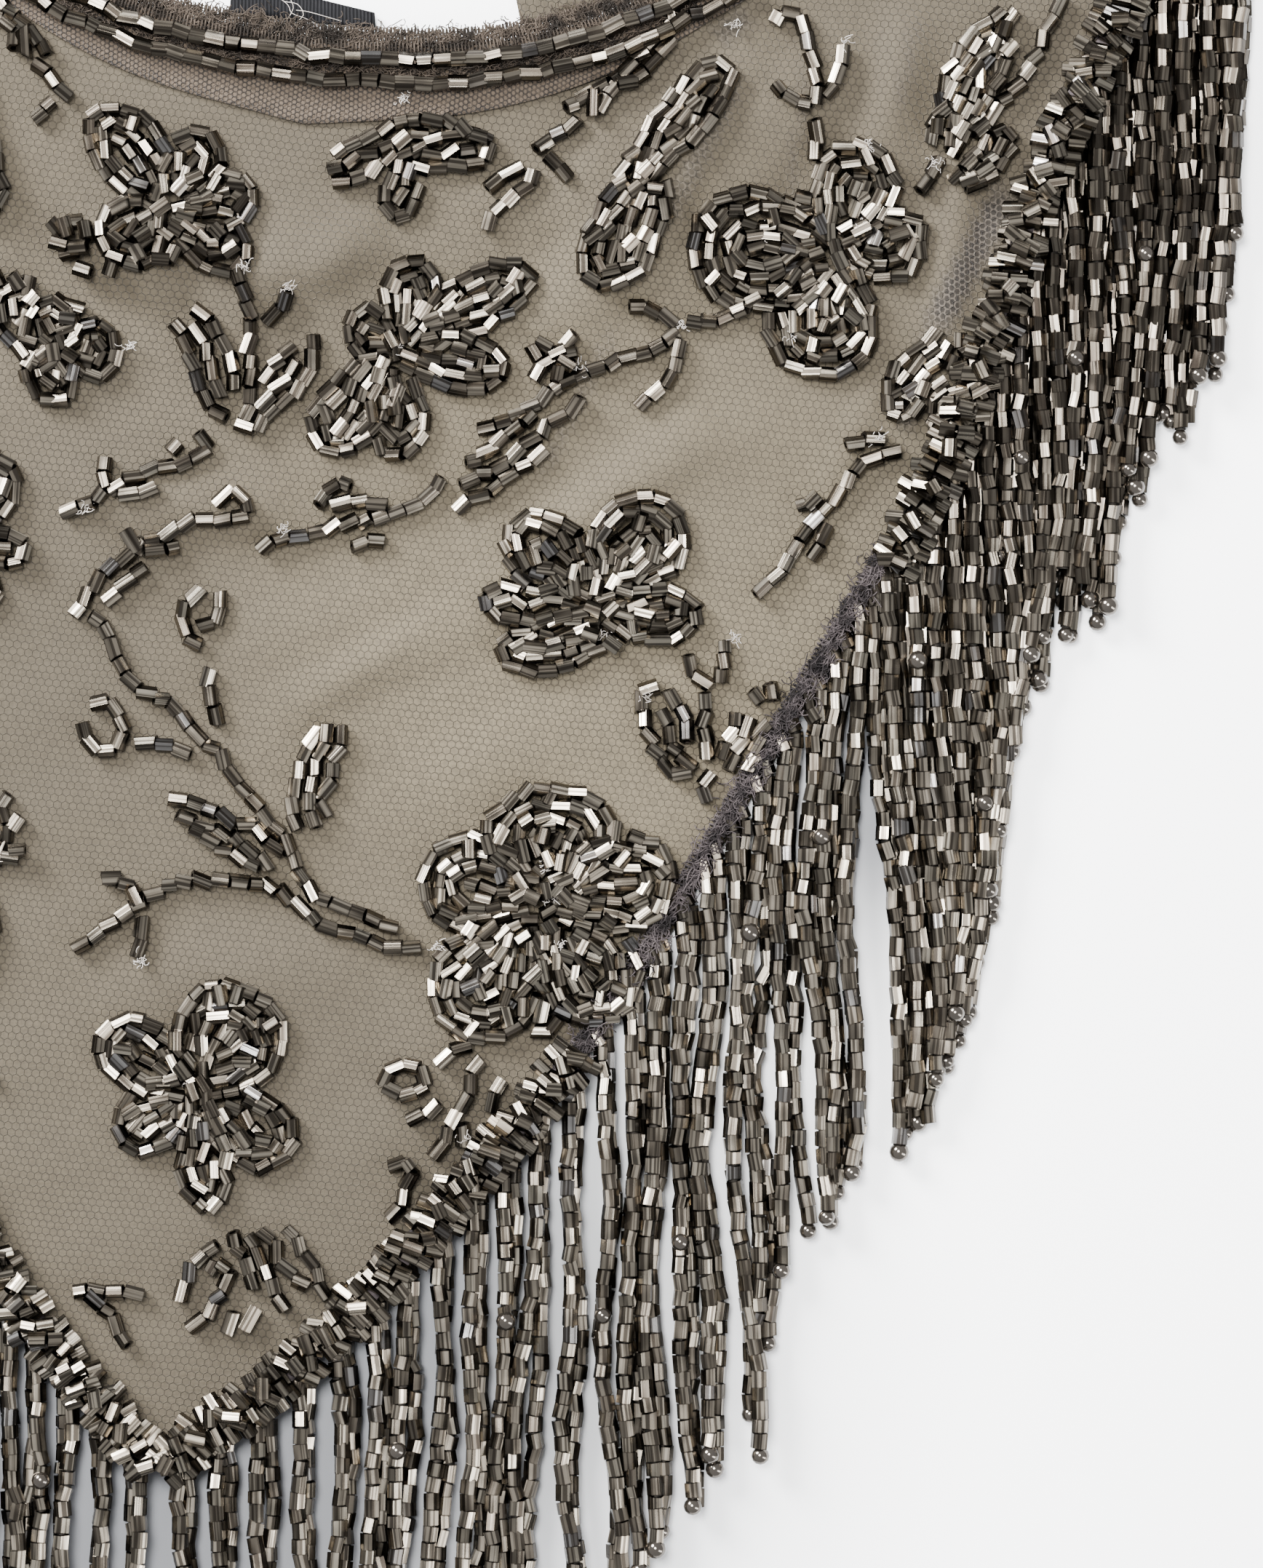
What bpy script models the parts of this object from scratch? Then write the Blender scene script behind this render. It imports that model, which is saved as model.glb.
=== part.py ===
"""A beaded bandana laid flat: a net bib on a lining, two ties, raised bead work, a neck edging and a strand fringe.

Tables and functions give millimetres in the garment's own frame. U runs across it from its middle and V runs up it
from the middle of its neckline, so the front point is at V = -BIB_DROP. place() turns and moves that frame into the
part's frame, in metres, where the garment lies on Z = 0 and is seen from +Z.
"""

import math

import bmesh
import bpy
from mathutils import Vector, geometry

MM = 0.001
TILT = math.radians(6.2)  # the garment lies turned clockwise, seen from above
NECK_POINT = (-12.37, 60.82)  # the neckline's middle in the part's frame, with the whole part centred on the origin
BIB_DROP = 176.0
GAP = 0.3
LINING_THICK = 1.0
NET_THICK = 1.0
BAND_THICK = 0.8
TIE_THICK = 2.0
LABEL_THICK = 1.0
GRID_STEP = 9.0
EDGE_STEP = 7.0
TIE_STEP = 12.0

# One half of the hem, from the front point up to the end of the tie. Columns: u, v.
HEM = (
    (0.0, -BIB_DROP),
    (17.4, -159.2),
    (34.6, -135.7),
    (48.6, -115.0),
    (59.3, -92.5),
    (69.8, -69.8),
    (78.6, -50.0),
    (84.6, -29.0),
    (90.2, -4.0),
    (97.0, 14.9),
    (104.6, 35.1),
    (112.5, 62.0),
    (119.5, 88.0),
    (126.0, 114.0),
)
# One half of the neckline, from its middle up to the end of the tie. Columns: u, v.
NECK = (
    (0.0, 2.6),
    (15.0, 3.6),
    (25.0, 5.6),
    (34.0, 9.0),
    (43.0, 14.0),
    (53.0, 22.0),
    (67.0, 38.0),
    (84.0, 64.0),
    (100.0, 94.0),
    (112.0, 118.0),
)
SEAM_AT_NECK = Vector((50.5, 20.0))  # the seam between bib and tie runs through these two points
SEAM_AT_HEM = Vector((101.0, 27.0))

EDGING_RADIUS = 1.4
ROW_RADIUS = 0.9
ROW_DEPTHS = (3.6, 6.4)  # of the two bead rows, below the neckline
BAND_TOP = 3.1
BAND_DEPTH = 12.0  # of the doubled net at the neck, at the middle
BAND_DEPTH_SIDE = 7.6

BACK_PLY_FROM_U = 24.0
BACK_PLY_TO_U = 42.0
BACK_PLY_RISE = 6.5

TAPE_WIDTH = 1.8
TAPE_THICK = 1.8
HEM_ROLL_WIDTH = 6.6
HEM_ROLL_RIM = 1.2
HEM_ROLL_CROWN = 2.6
# Columns: name, first v, last v.
HEM_ROLLS = (("lower", -172.0, -121.0), ("upper", -56.0, 24.0))

# The outline of the label, a cut scrap that stands past the neckline. Columns: u, v.
LABEL = ((-10.8, 3.3), (7.5, 3.6), (7.2, 5.5), (0.3, 6.4), (-10.9, 7.8))

STRAND_PITCH = 3.1
FIRST_STRAND = 3.0  # from the front point, along the hem
STRAND_HALF = 0.6
STRAND_LENGTH = 74.0
STRAND_SPREAD = 7.0  # the longest and shortest strands differ from that by about this much
STRAND_TOP_V = 52.0
STRAND_LEVELS = (1.05, 2.65, 4.2)  # heights at which neighbouring strands lie
STRAND_CUTS = (0.05, 0.3, 0.6, 1.0)

# Soft folds of the net, of which those far out are repeated on the other half.
# Columns: u and v at one end, u and v at the other, half width, height.
FOLDS = (
    (57.0, 8.0, 33.0, -34.0, 8.0, 2.6),
    (68.0, 10.0, 44.0, -30.0, 6.0, 1.6),
    (55.0, -40.0, 26.0, -70.0, 6.0, 1.8),
    (30.0, -68.0, 3.0, -83.0, 5.0, 1.2),
    (12.0, -21.0, -6.0, -31.0, 6.0, 2.0),
    (-12.0, -32.0, -27.0, -27.0, 6.0, 2.0),
    (83.0, 4.0, 81.5, -30.0, 4.0, 1.2),
    (73.5, 14.0, 73.0, -8.0, 5.0, 1.4),
    (4.0, -57.0, -24.0, -60.0, 7.0, 1.4),
    (20.0, -115.0, -14.0, -118.0, 9.0, 1.0),
)
MIRROR_FROM_U = 25.0

PAD_RIM = 1.3
PAD_CROWN = 2.1
# Columns: name, u and v of the middle, radius, petals, depth of the notches, turn in degrees.
FLOWERS = (
    ("flower_neck", -16.0, -20.4, 10.2, 3, 0.16, 100.0),
    ("flower_edge", -26.5, -41.0, 6.2, 3, 0.18, 30.0),
    ("flower_middle", 19.8, -34.0, 12.0, 4, 0.22, 48.0),
    ("flower_side", 64.8, -19.8, 13.6, 3, 0.26, 42.0),
    ("flower_heart", 41.9, -63.2, 12.9, 5, 0.14, 10.0),
    ("flower_large", 38.2, -102.8, 12.4, 5, 0.12, 62.0),
    ("flower_low", -0.6, -131.8, 12.6, 3, 0.24, 22.0),
)
# Columns: name, u and v of the stem end, u and v of the tip, width.
LEAVES = (
    ("leaf_pair_left", -3.6, -47.8, -13.4, -35.0, 5.0),
    ("leaf_pair_right", -1.6, -47.8, 4.4, -35.5, 5.4),
    ("leaf_neck", 3.4, -16.6, 24.0, -11.6, 6.0),
    ("leaf_dark", 34.6, -7.2, 44.2, 1.2, 4.4),
    ("leaf_long", 37.9, -25.9, 51.2, 3.2, 8.6),
    ("leaf_high", 76.4, -3.6, 82.4, 12.6, 6.0),
    ("leaf_stem", 23.4, -55.6, 37.4, -39.8, 5.8),
    ("leaf_upright", 9.6, -97.0, 12.6, -83.0, 7.0),
    ("leaf_level", 7.0, -100.3, -8.2, -95.0, 5.8),
    ("leaf_hem_left", 58.6, -83.2, 48.2, -75.0, 6.6),
    ("leaf_low_fan", 8.4, -149.0, -1.0, -155.0, 7.0),
)


def removed_objects():
    for item in list(bpy.data.objects):
        bpy.data.objects.remove(item, do_unlink=True)


def place(u, v, z):
    """A point of the garment's frame, in the part's frame."""
    x = u * math.cos(TILT) + v * math.sin(TILT) + NECK_POINT[0]
    y = -u * math.sin(TILT) + v * math.cos(TILT) + NECK_POINT[1]
    return Vector((x * MM, y * MM, z * MM))


def smooth_curve(table, step):
    """Evenly spaced points on the smooth curve through a table's points."""
    knots = [Vector(row) for row in table]
    ends = [2 * knots[0] - knots[1]] + knots + [2 * knots[-1] - knots[-2]]
    fine = []
    for a, b, c, d in zip(ends, ends[1:], ends[2:], ends[3:]):
        for i in range(20):
            t = i / 20
            fine.append(
                0.5 * (2 * b + (c - a) * t + (2 * a - 5 * b + 4 * c - d) * t**2 + (3 * b - a - 3 * c + d) * t**3)
            )
    fine.append(knots[-1])
    return even_points(fine, step)


def even_points(line, step):
    """The same line with points about step apart."""
    along = [0.0]
    for a, b in zip(line, line[1:]):
        along.append(along[-1] + (b - a).length)
    count = max(1, round(along[-1] / step))
    points = []
    i = 0
    for k in range(count + 1):
        wanted = along[-1] * k / count
        while i < len(line) - 2 and along[i + 1] < wanted:
            i += 1
        share = (wanted - along[i]) / max(along[i + 1] - along[i], 1e-9)
        points.append(line[i].lerp(line[i + 1], min(1.0, share)))
    return points


def moved_in(line, distance):
    """The line moved to its left, seen along it, by a distance or by a function of the point's index."""
    out = []
    for i, point in enumerate(line):
        run = (line[min(i + 1, len(line) - 1)] - line[max(i - 1, 0)]).normalized()
        move = distance(i) if callable(distance) else distance
        out.append(point + Vector((-run.y, run.x)) * move)
    return out


def other_side(line):
    return [Vector((-p.x, p.y)) for p in line]


def cut_at(line, low, high):
    """The stretch of a line whose V lies between two values."""
    return [p for p in line if low <= p.y <= high]


def past_seam(point):
    """How far a point lies above the tie's seam."""
    run = (SEAM_AT_HEM - SEAM_AT_NECK).normalized()
    return run.cross(point - SEAM_AT_NECK)


def cut_by_seam(line, gap, above):
    """The stretch of a line above or below the tie's seam, ending at a gap from it."""
    kept = []
    for a, b in zip(line, line[1:] + line[-1:]):
        far_a = past_seam(a) - gap
        far_b = past_seam(b) - gap
        if (far_a > 0) == above:
            kept.append(a)
        if (far_a > 0) != (far_b > 0):
            kept.append(a.lerp(b, far_a / (far_a - far_b)))
    return kept


def hem_line(step):
    """The hem's outer edge, from the front point up the +U side."""
    return smooth_curve(HEM, step)


def neck_line(step):
    """The neckline from the left tie to the right one."""
    half = smooth_curve(NECK, step)
    return other_side(half)[:0:-1] + half


def neck_depth(depth, step):
    """A line that far below the neckline."""
    return moved_in(neck_line(step), -depth)


def bib_outline():
    """The net's and the lining's edge: hem, tie seam and neckline, anticlockwise from the front point."""
    side = cut_by_seam(moved_in(hem_line(EDGE_STEP), TAPE_WIDTH + GAP), 0.0, False)
    side[0] = Vector((0.0, side[0].y + TAPE_WIDTH))
    half = [p for p in neck_depth(2 * EDGING_RADIUS + GAP, EDGE_STEP) if p.x > -0.1]
    neck = cut_by_seam(half, 0.0, False)
    return side + neck[::-1] + other_side(neck[1:]) + other_side(side)[:0:-1]


def tie_outline(mirrored):
    outer = cut_by_seam(moved_in(hem_line(TIE_STEP), TAPE_WIDTH + GAP), GAP, True)
    inner = cut_by_seam(smooth_curve(NECK, TIE_STEP), GAP, True)
    outline = outer + inner[::-1]
    return other_side(outline)[::-1] if mirrored else outline


def back_ply_outline():
    """A strip of the back of the garment that shows past the neckline."""
    low = [p for p in neck_depth(-GAP, EDGE_STEP) if BACK_PLY_FROM_U < p.x < BACK_PLY_TO_U]
    high = moved_in(low, BACK_PLY_RISE)
    return low + high[::-1]


def fold_rows():
    """Every fold, with those far from the middle repeated on the other half."""
    rows = list(FOLDS)
    for u0, v0, u1, v1, half_width, height in FOLDS:
        if min(u0, u1) > MIRROR_FROM_U:
            rows.append((-u0, v0, -u1, v1, half_width, 0.8 * height))
    return rows


def fold_height(u, v):
    """How far the net rises above the lining's flat face here."""
    total = 0.0
    for u0, v0, u1, v1, half_width, height in fold_rows():
        run = Vector((u1 - u0, v1 - v0))
        off = Vector((u - u0, v - v0))
        along = off.dot(run) / run.length_squared
        if not 0.0 < along < 1.0:
            continue
        aside = abs(off.cross(run)) / run.length
        if aside < half_width:
            soft = 0.5 + 0.5 * math.cos(math.pi * aside / half_width)
            total += height * soft * math.sin(math.pi * along) ** 0.7
    return total


def net_top(u, v):
    return LINING_THICK + GAP + NET_THICK + fold_height(u, v)


def flower_outline(u, v, radius, petals, depth, turn_deg):
    points = []
    count = 6 * petals
    for i in range(count):
        angle = 2 * math.pi * i / count
        reach = radius * (1 - depth + depth * math.cos(petals * angle))
        turned = angle + math.radians(turn_deg)
        points.append(Vector((u + reach * math.cos(turned), v + reach * math.sin(turned))))
    return points


def leaf_outline(u0, v0, u1, v1, width):
    start = Vector((u0, v0))
    run = Vector((u1 - u0, v1 - v0))
    across = Vector((-run.y, run.x)).normalized() * width / 2
    sides = []
    for share in (0.0, 0.18, 0.42, 0.68, 0.9):
        bulge = math.sin(math.pi * min(1.0, 0.1 + 0.86 * share)) ** 0.8
        sides.append((start + run * share, across * bulge))
    right = [p - a for p, a in sides]
    left = [p + a for p, a in sides]
    return right + [start + run] + left[::-1]


def hem_roll_outline(low, high, mirrored):
    outer = cut_at(moved_in(hem_line(EDGE_STEP), TAPE_WIDTH + GAP + 0.5), low, high)
    inner = cut_at(moved_in(hem_line(EDGE_STEP), TAPE_WIDTH + GAP + HEM_ROLL_WIDTH), low, high)
    if low < -BIB_DROP + 10:
        inner = [p for p in inner if p.x > 1.0]
        outer = [p for p in outer if p.x > 0.6]
    outline = outer + inner[::-1]
    return other_side(outline)[::-1] if mirrored else outline


def neck_band_outline():
    line = [p for p in neck_line(EDGE_STEP) if p.y < SEAM_AT_NECK.y - 2.0]
    top = moved_in(line, -BAND_TOP)

    def depth(i):
        off_middle = min(1.0, abs(line[i].x) / 45.0)
        return -(BAND_DEPTH + (BAND_DEPTH_SIDE - BAND_DEPTH) * off_middle)

    bottom = moved_in(line, depth)
    return bottom + top[::-1]


def crown_points():
    """Points inside the raised pieces, so that these rise to a crown."""
    points = []
    for _, u, v, radius, petals, depth, turn_deg in flower_rows():
        points.append(Vector((u, v)))
        points += flower_outline(u, v, 0.55 * radius, petals, depth, turn_deg)[::3]
    for _, u0, v0, u1, v1, _ in leaf_rows():
        points += [Vector((u0, v0)).lerp(Vector((u1, v1)), share) for share in (0.25, 0.5, 0.75)]
    for _, low, high in HEM_ROLLS:
        middle = cut_at(moved_in(hem_line(EDGE_STEP), TAPE_WIDTH + GAP + HEM_ROLL_WIDTH / 2), low + 2, high - 2)
        points += middle + other_side(middle)
    return points


def flower_rows():
    rows = list(FLOWERS)
    for name, u, v, radius, petals, depth, turn_deg in FLOWERS:
        if u > MIRROR_FROM_U:
            rows.append((name + "_left", -u, v, radius, petals, depth, 180.0 - turn_deg))
    return rows


def leaf_rows():
    rows = list(LEAVES)
    for name, u0, v0, u1, v1, width in LEAVES:
        if min(u0, u1) > MIRROR_FROM_U:
            rows.append((name + "_left", -u0, v0, -u1, v1, width))
    return rows


def raised_outlines():
    """Name, outline, rim height and crown height of each piece that lies on the net."""
    rows = [("neck_band", neck_band_outline(), BAND_THICK, BAND_THICK)]
    for name, low, high in HEM_ROLLS:
        for side, mirrored in (("right", False), ("left", True)):
            outline = hem_roll_outline(low, high, mirrored)
            rows.append(("hem_beads_" + name + "_" + side, outline, HEM_ROLL_RIM, HEM_ROLL_CROWN))
    for row in flower_rows():
        rows.append((row[0], flower_outline(*row[1:]), PAD_RIM, PAD_CROWN))
    for row in leaf_rows():
        rows.append((row[0], leaf_outline(*row[1:]), PAD_RIM, PAD_CROWN))
    return rows


def grid_points(outline):
    """Points of a triangular grid that lie well inside an outline."""
    low_u = min(p.x for p in outline)
    high_u = max(p.x for p in outline)
    low_v = min(p.y for p in outline)
    high_v = max(p.y for p in outline)
    points = []
    row = 0
    v = low_v
    while v < high_v:
        u = low_u + (row % 2) * GRID_STEP / 2
        while u < high_u:
            point = Vector((u, v))
            if inside(point, outline) and min((p - point).length for p in outline) > 0.5 * GRID_STEP:
                points.append(point)
            u += GRID_STEP
        v += GRID_STEP * 0.87
        row += 1
    return points


def inside(point, outline):
    hit = False
    for a, b in zip(outline, outline[1:] + outline[:1]):
        if (a.y > point.y) != (b.y > point.y):
            if point.x < a.x + (b.x - a.x) * (point.y - a.y) / (b.y - a.y):
                hit = not hit
    return hit


def cut_net():
    """The net's flat cut as triangles, with the outline of each raised piece among their edges.

    Returns the points, and for each outline in turn the triangles that lie in it; the first is the whole bib.
    """
    outlines = [bib_outline()] + [row[1] for row in raised_outlines()]
    points = []
    loops = []
    for outline in outlines:
        loops.append(list(range(len(points), len(points) + len(outline))))
        points += outline
    edge_points = [p for outline in outlines[1:] for p in outline]
    crowns = crown_points()
    points += crowns
    for point in grid_points(outlines[0]):
        near = edge_points + crowns
        if min((p - point).length for p in near) > 0.42 * GRID_STEP:
            points.append(point)
    made = geometry.delaunay_2d_cdt(points, [], loops, 1, 0.001)
    triangles = [[] for _ in outlines]
    for corners, sources in zip(made[2], made[5]):
        for source in sources:
            triangles[source].append(corners)
    return made[0], triangles


def material(name, color, roughness, metallic=0.0):
    new = bpy.data.materials.new(name)
    new.use_nodes = True
    shader = new.node_tree.nodes["Principled BSDF"]
    shader.inputs["Base Color"].default_value = (*color, 1.0)
    shader.inputs["Roughness"].default_value = roughness
    shader.inputs["Metallic"].default_value = metallic
    return new


def add_object(name, mesh, collection, finish):
    new = bpy.data.objects.new(name, mesh)
    collection.objects.link(new)
    new.data.materials.clear()
    new.data.materials.append(finish)
    return new


def solid_from(bm, name, collection, finish):
    bmesh.ops.recalc_face_normals(bm, faces=bm.faces)
    mesh = bpy.data.meshes.new(name)
    bm.to_mesh(mesh)
    bm.free()
    return add_object(name, mesh, collection, finish)


def wall(name, points, triangles, bottom, top, collection, finish):
    """A closed wall on a set of triangles: bottom and top give the heights of its two faces at a point's index."""
    bm = bmesh.new()
    used = sorted({i for corners in triangles for i in corners})
    verts = {i: bm.verts.new(place(points[i].x, points[i].y, bottom(i))) for i in used}
    faces = [bm.faces.new([verts[i] for i in corners]) for corners in triangles]
    heights = {tuple(verts[i].co): top(i) for i in used}
    made = bmesh.ops.extrude_face_region(bm, geom=faces)["geom"]
    for vert in made:
        if isinstance(vert, bmesh.types.BMVert):
            vert.co.z = heights[tuple(vert.co)] * MM
    return solid_from(bm, name, collection, finish)


def plate(name, outline, low, high, collection, finish):
    """A flat piece of one thickness."""
    bm = bmesh.new()
    face = bm.faces.new([bm.verts.new(place(p.x, p.y, low)) for p in outline])
    made = bmesh.ops.extrude_face_region(bm, geom=[face])["geom"]
    rise = Vector((0.0, 0.0, (high - low) * MM))
    bmesh.ops.translate(bm, verts=[v for v in made if isinstance(v, bmesh.types.BMVert)], vec=rise)
    bmesh.ops.triangulate(bm, faces=bm.faces)
    return solid_from(bm, name, collection, finish)


def tube(name, line, radius, height, sides, collection, finish):
    """A round piece along a line, its middle at a height."""
    curve = bpy.data.curves.new(name, "CURVE")
    curve.dimensions = "3D"
    curve.bevel_depth = radius * MM
    curve.bevel_resolution = sides
    curve.use_fill_caps = True
    spline = curve.splines.new("POLY")
    spline.points.add(len(line) - 1)
    for target, point in zip(spline.points, line):
        target.co = (*place(point.x, point.y, height), 1.0)
    return add_object(name, curve, collection, finish)


def extruded_to(bm, face, centre, across, half_across, half_up):
    """Extrudes a face along a route: the copy's corners lie round a new centre, across and up."""
    middle = face.calc_center_median()
    signs = [((v.co - middle).dot(across) > 0, v.co.z > middle.z) for v in face.verts]
    made = bmesh.ops.extrude_discrete_faces(bm, faces=[face])["faces"][0]
    for vert, (far, high) in zip(made.verts, signs):
        side = half_across if far else -half_across
        rise = half_up if high else -half_up
        vert.co = centre + across * side * MM + Vector((0.0, 0.0, rise * MM))
    return made


def strand_length(k):
    wave = math.sin(1.9 * k) + 0.7 * math.sin(0.73 * k + 1.0) + 0.5 * math.sin(3.1 * k)
    return STRAND_LENGTH + STRAND_SPREAD * wave / 2.2


def strand_sway(k, share):
    """How far a strand has wandered sideways at a share of its length; neighbours wander alike."""
    return (1.6 * math.sin(0.11 * k + 3.2 * share) + 0.9 * math.sin(0.05 * k + 7.0 * share)) * share


def fringe(name, mirrored, collection, finish):
    """The hem's tape with the strands that grow out of its outer side."""
    outer = hem_line(0.25)
    along = 0.0
    stations = []
    next_cut = FIRST_STRAND
    for a, b in zip(outer, outer[1:]):
        along += (b - a).length
        if along >= next_cut and b.y < STRAND_TOP_V:
            stations.append((b, (b - a).normalized()))
            next_cut += 2 * STRAND_HALF if len(stations) % 2 else STRAND_PITCH - 2 * STRAND_HALF
    if len(stations) % 2:
        stations.pop()
    side = -1.0 if mirrored else 1.0
    sections = []
    for point, run in stations:
        back = point + Vector((-run.y, run.x)) * TAPE_WIDTH
        corners = [(point, 0.0), (point, TAPE_THICK), (back, TAPE_THICK), (back, 0.0)]
        sections.append([place(side * p.x, p.y, z) for p, z in corners])
    bm = bmesh.new()
    rings = [[bm.verts.new(co) for co in section] for section in sections]
    bm.faces.new(rings[0])
    bm.faces.new(rings[-1][::-1])
    roots = []
    for k, (ring, following) in enumerate(zip(rings, rings[1:])):
        for i in range(4):
            j = (i + 1) % 4
            face = bm.faces.new((ring[i], following[i], following[j], ring[j]))
            if i == 0 and k % 2 == 0:
                roots.append(face)
    for k, face in enumerate(roots):
        point, run = stations[2 * k]
        add_strand(bm, face, k, side, point, run)
    return solid_from(bm, name, collection, finish)


def add_strand(bm, face, k, side, point, run):
    start = face.calc_center_median()
    tangent = (place(side * (point + run).x, (point + run).y, 0.0) - place(side * point.x, point.y, 0.0)).normalized()
    outward = Vector((tangent.y, -tangent.x, 0.0)) * side
    hanging = Vector((side, 0.0, 0.0))
    level = STRAND_LEVELS[k % len(STRAND_LEVELS)] * MM
    length = strand_length(k) * MM
    for share in STRAND_CUTS:
        turned = min(1.0, 0.35 + share * 4)
        across = tangent.lerp(hanging, turned).normalized()
        centre = start + outward * 1.1 * MM + Vector((0.0, -length * share, 0.0))
        centre.x += strand_sway(k, share) * MM
        centre.z = level
        face = extruded_to(bm, face, centre, across, STRAND_HALF, STRAND_HALF)


def build():
    removed_objects()
    collection = bpy.data.collections.new("bandana")
    bpy.context.scene.collection.children.link(collection)
    net = material("net", (0.36, 0.33, 0.28), 0.8)
    lining = material("lining", (0.42, 0.38, 0.32), 0.7)
    band = material("neck_net", (0.26, 0.22, 0.19), 0.85)
    edging = material("overlock", (0.12, 0.10, 0.09), 0.9)
    beads = material("glass_beads", (0.16, 0.14, 0.12), 0.2, 0.6)
    strands = material("strands", (0.2, 0.18, 0.15), 0.2, 0.6)
    label = material("label", (0.01, 0.01, 0.012), 0.7)

    points, triangles = cut_net()
    tops = [net_top(p.x, p.y) for p in points]
    wall(
        "net_bib", points, triangles[0], lambda i: tops[i] - NET_THICK, lambda i: tops[i], collection, net
    )
    plate("lining", bib_outline(), 0.0, LINING_THICK, collection, lining)
    for row, cut in zip(raised_outlines(), triangles[1:]):
        name, outline, rim, crown = row
        rims = {i for i, p in enumerate(points) if min((p - q).length for q in outline) < 0.05}
        heights = {i: tops[i] + GAP + (rim if i in rims else crown) for c in cut for i in c}
        finish = band if name == "neck_band" else beads
        wall(name, points, cut, lambda i: tops[i] + GAP, lambda i: heights[i], collection, finish)
    for side, mirrored in (("right", False), ("left", True)):
        plate("tie_" + side, tie_outline(mirrored), 0.0, TIE_THICK, collection, net)
        fringe("fringe_" + side, mirrored, collection, strands)
    short_neck = [p for p in neck_depth(EDGING_RADIUS, EDGE_STEP) if p.y < SEAM_AT_NECK.y - 1.5]
    tube("neck_edging", short_neck, EDGING_RADIUS, EDGING_RADIUS, 1, collection, edging)
    row_height = LINING_THICK + NET_THICK + BAND_THICK + 3 * GAP + ROW_RADIUS
    for name, depth in zip(("upper", "lower"), ROW_DEPTHS):
        line = [p for p in neck_depth(depth, EDGE_STEP) if p.y < SEAM_AT_NECK.y - 6.0]
        tube("neck_row_" + name, line, ROW_RADIUS, row_height, 0, collection, beads)
    scrap = [Vector(row) for row in LABEL]
    plate("back_ply", back_ply_outline(), 0.0, LINING_THICK, collection, net)
    plate("label", scrap, 0.0, LABEL_THICK, collection, label)


build()
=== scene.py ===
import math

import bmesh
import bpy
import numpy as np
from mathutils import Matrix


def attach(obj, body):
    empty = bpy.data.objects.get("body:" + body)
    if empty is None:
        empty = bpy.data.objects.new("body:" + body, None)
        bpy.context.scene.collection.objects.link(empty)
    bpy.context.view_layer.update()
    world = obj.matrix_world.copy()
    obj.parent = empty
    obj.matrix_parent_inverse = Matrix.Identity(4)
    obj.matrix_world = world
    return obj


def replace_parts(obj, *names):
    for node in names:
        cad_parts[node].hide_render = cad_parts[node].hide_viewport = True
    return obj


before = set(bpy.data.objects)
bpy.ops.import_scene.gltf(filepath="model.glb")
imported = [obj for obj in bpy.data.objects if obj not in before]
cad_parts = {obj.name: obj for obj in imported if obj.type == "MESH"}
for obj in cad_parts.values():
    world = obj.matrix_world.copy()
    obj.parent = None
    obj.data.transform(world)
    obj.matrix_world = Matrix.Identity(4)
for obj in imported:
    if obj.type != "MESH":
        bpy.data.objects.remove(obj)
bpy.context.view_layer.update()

# The looks of the beaded bandana: cloth shells on the solids' forms, glass beads on every row and strand,
# and fuzzy thread at the hem and the neckline.
# Lengths are in millimetres until a mesh is made. There are two flat frames: the row frame (x, y), in which
# the part lies, and the garment's frame (u, v) from the neckline's middle, whose v runs up the garment.

MM = 0.001
TILT = math.radians(6.2)
NECK_POINT = np.array((-12.37, 60.82))
VIEW_CORNER = np.array((-51.46, 67.18))  # upper left corner of the camera's view, in the row frame
VIEW_UNITS = 11.0  # to a millimetre, for places given across and down the view
CREPE_LIGHT = (0.072, 0.0585, 0.037, 1)
CREPE_DARK = (0.056, 0.0455, 0.0288, 1)
CREPE_THREAD = (0.040, 0.032, 0.020, 1)
NET_THREAD = (0.023, 0.0185, 0.012, 1)
GAP = 0.3
SOFT_BOX = np.array((-0.16, 0.19, 0.969))  # halfway between the way up and the way to the soft box
NET_TOP = 2.3
NET_THICK = 0.3
BEAD_RADIUS = 0.95
BEAD_PITCH = 2.2
ROW_PITCH = 1.72
STRAND_RADIUS = 1.05
STRAND_BEAD = 1.98
STRAND_PITCH = 3.1
FIRST_STRAND = 1.2
STRAND_TOP_V = 52.0
# How long the longest strands are, after the photo's fringe ends. Columns: strand number, length.
STRAND_LENGTHS = (
    (0, 75.0), (26, 76.0), (30, 78.5), (34, 80.5), (36, 75.0), (39, 68.5), (44, 71.5), (48, 74.5),
    (52, 77.0), (58, 76.5), (60, 67.5), (65, 68.0), (69, 77.0), (72, 74.0), (90, 74.0),
)
STRAND_SPREAD = 7.0  # how far the lengths differ
SIDE_SPREAD = 9.0  # how much more they differ at the top of the side
PARTING = 44.8  # the strand number at which the fringe parts and shows the floor
PARTING_HALF = 2.6
PARTING_REACH = 6.0  # in strands
CROWDED_FROM = 44  # from this strand on they hang several deep
PAIRED = 1.5  # how much nearer every second strand starts to the one before it
CROWDED_PAIRED = 0.7
ROOT_HEIGHT = 2.4
FRONT_LEVEL = 2.95  # heights at which the strands lie
BACK_LEVEL = 1.9
UNDER_LEVEL = 1.0
CORD_RADIUS = 0.7
PILE_SHADE = 0.7  # how much darker the fringe's beads are where the strands crowd
NECK_SHADE = 0.34  # how much darker the beads are towards the neckline's middle
TOO_CLOSE = 0.65  # beads nearer than this to another are left out
CLOSE = 0.95  # and of those nearer than this, a share
CLOSE_LEFT_OUT = 0.35
BALL_RADIUS = 1.2
LOST_BALLS = 0.1
UNDER_TOP = 0.9  # the upper faces of the lining and the back ply
LABEL_TOP = 0.95
BAND_LIFT = 0.55
CORE_HEIGHT = 2.6
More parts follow.
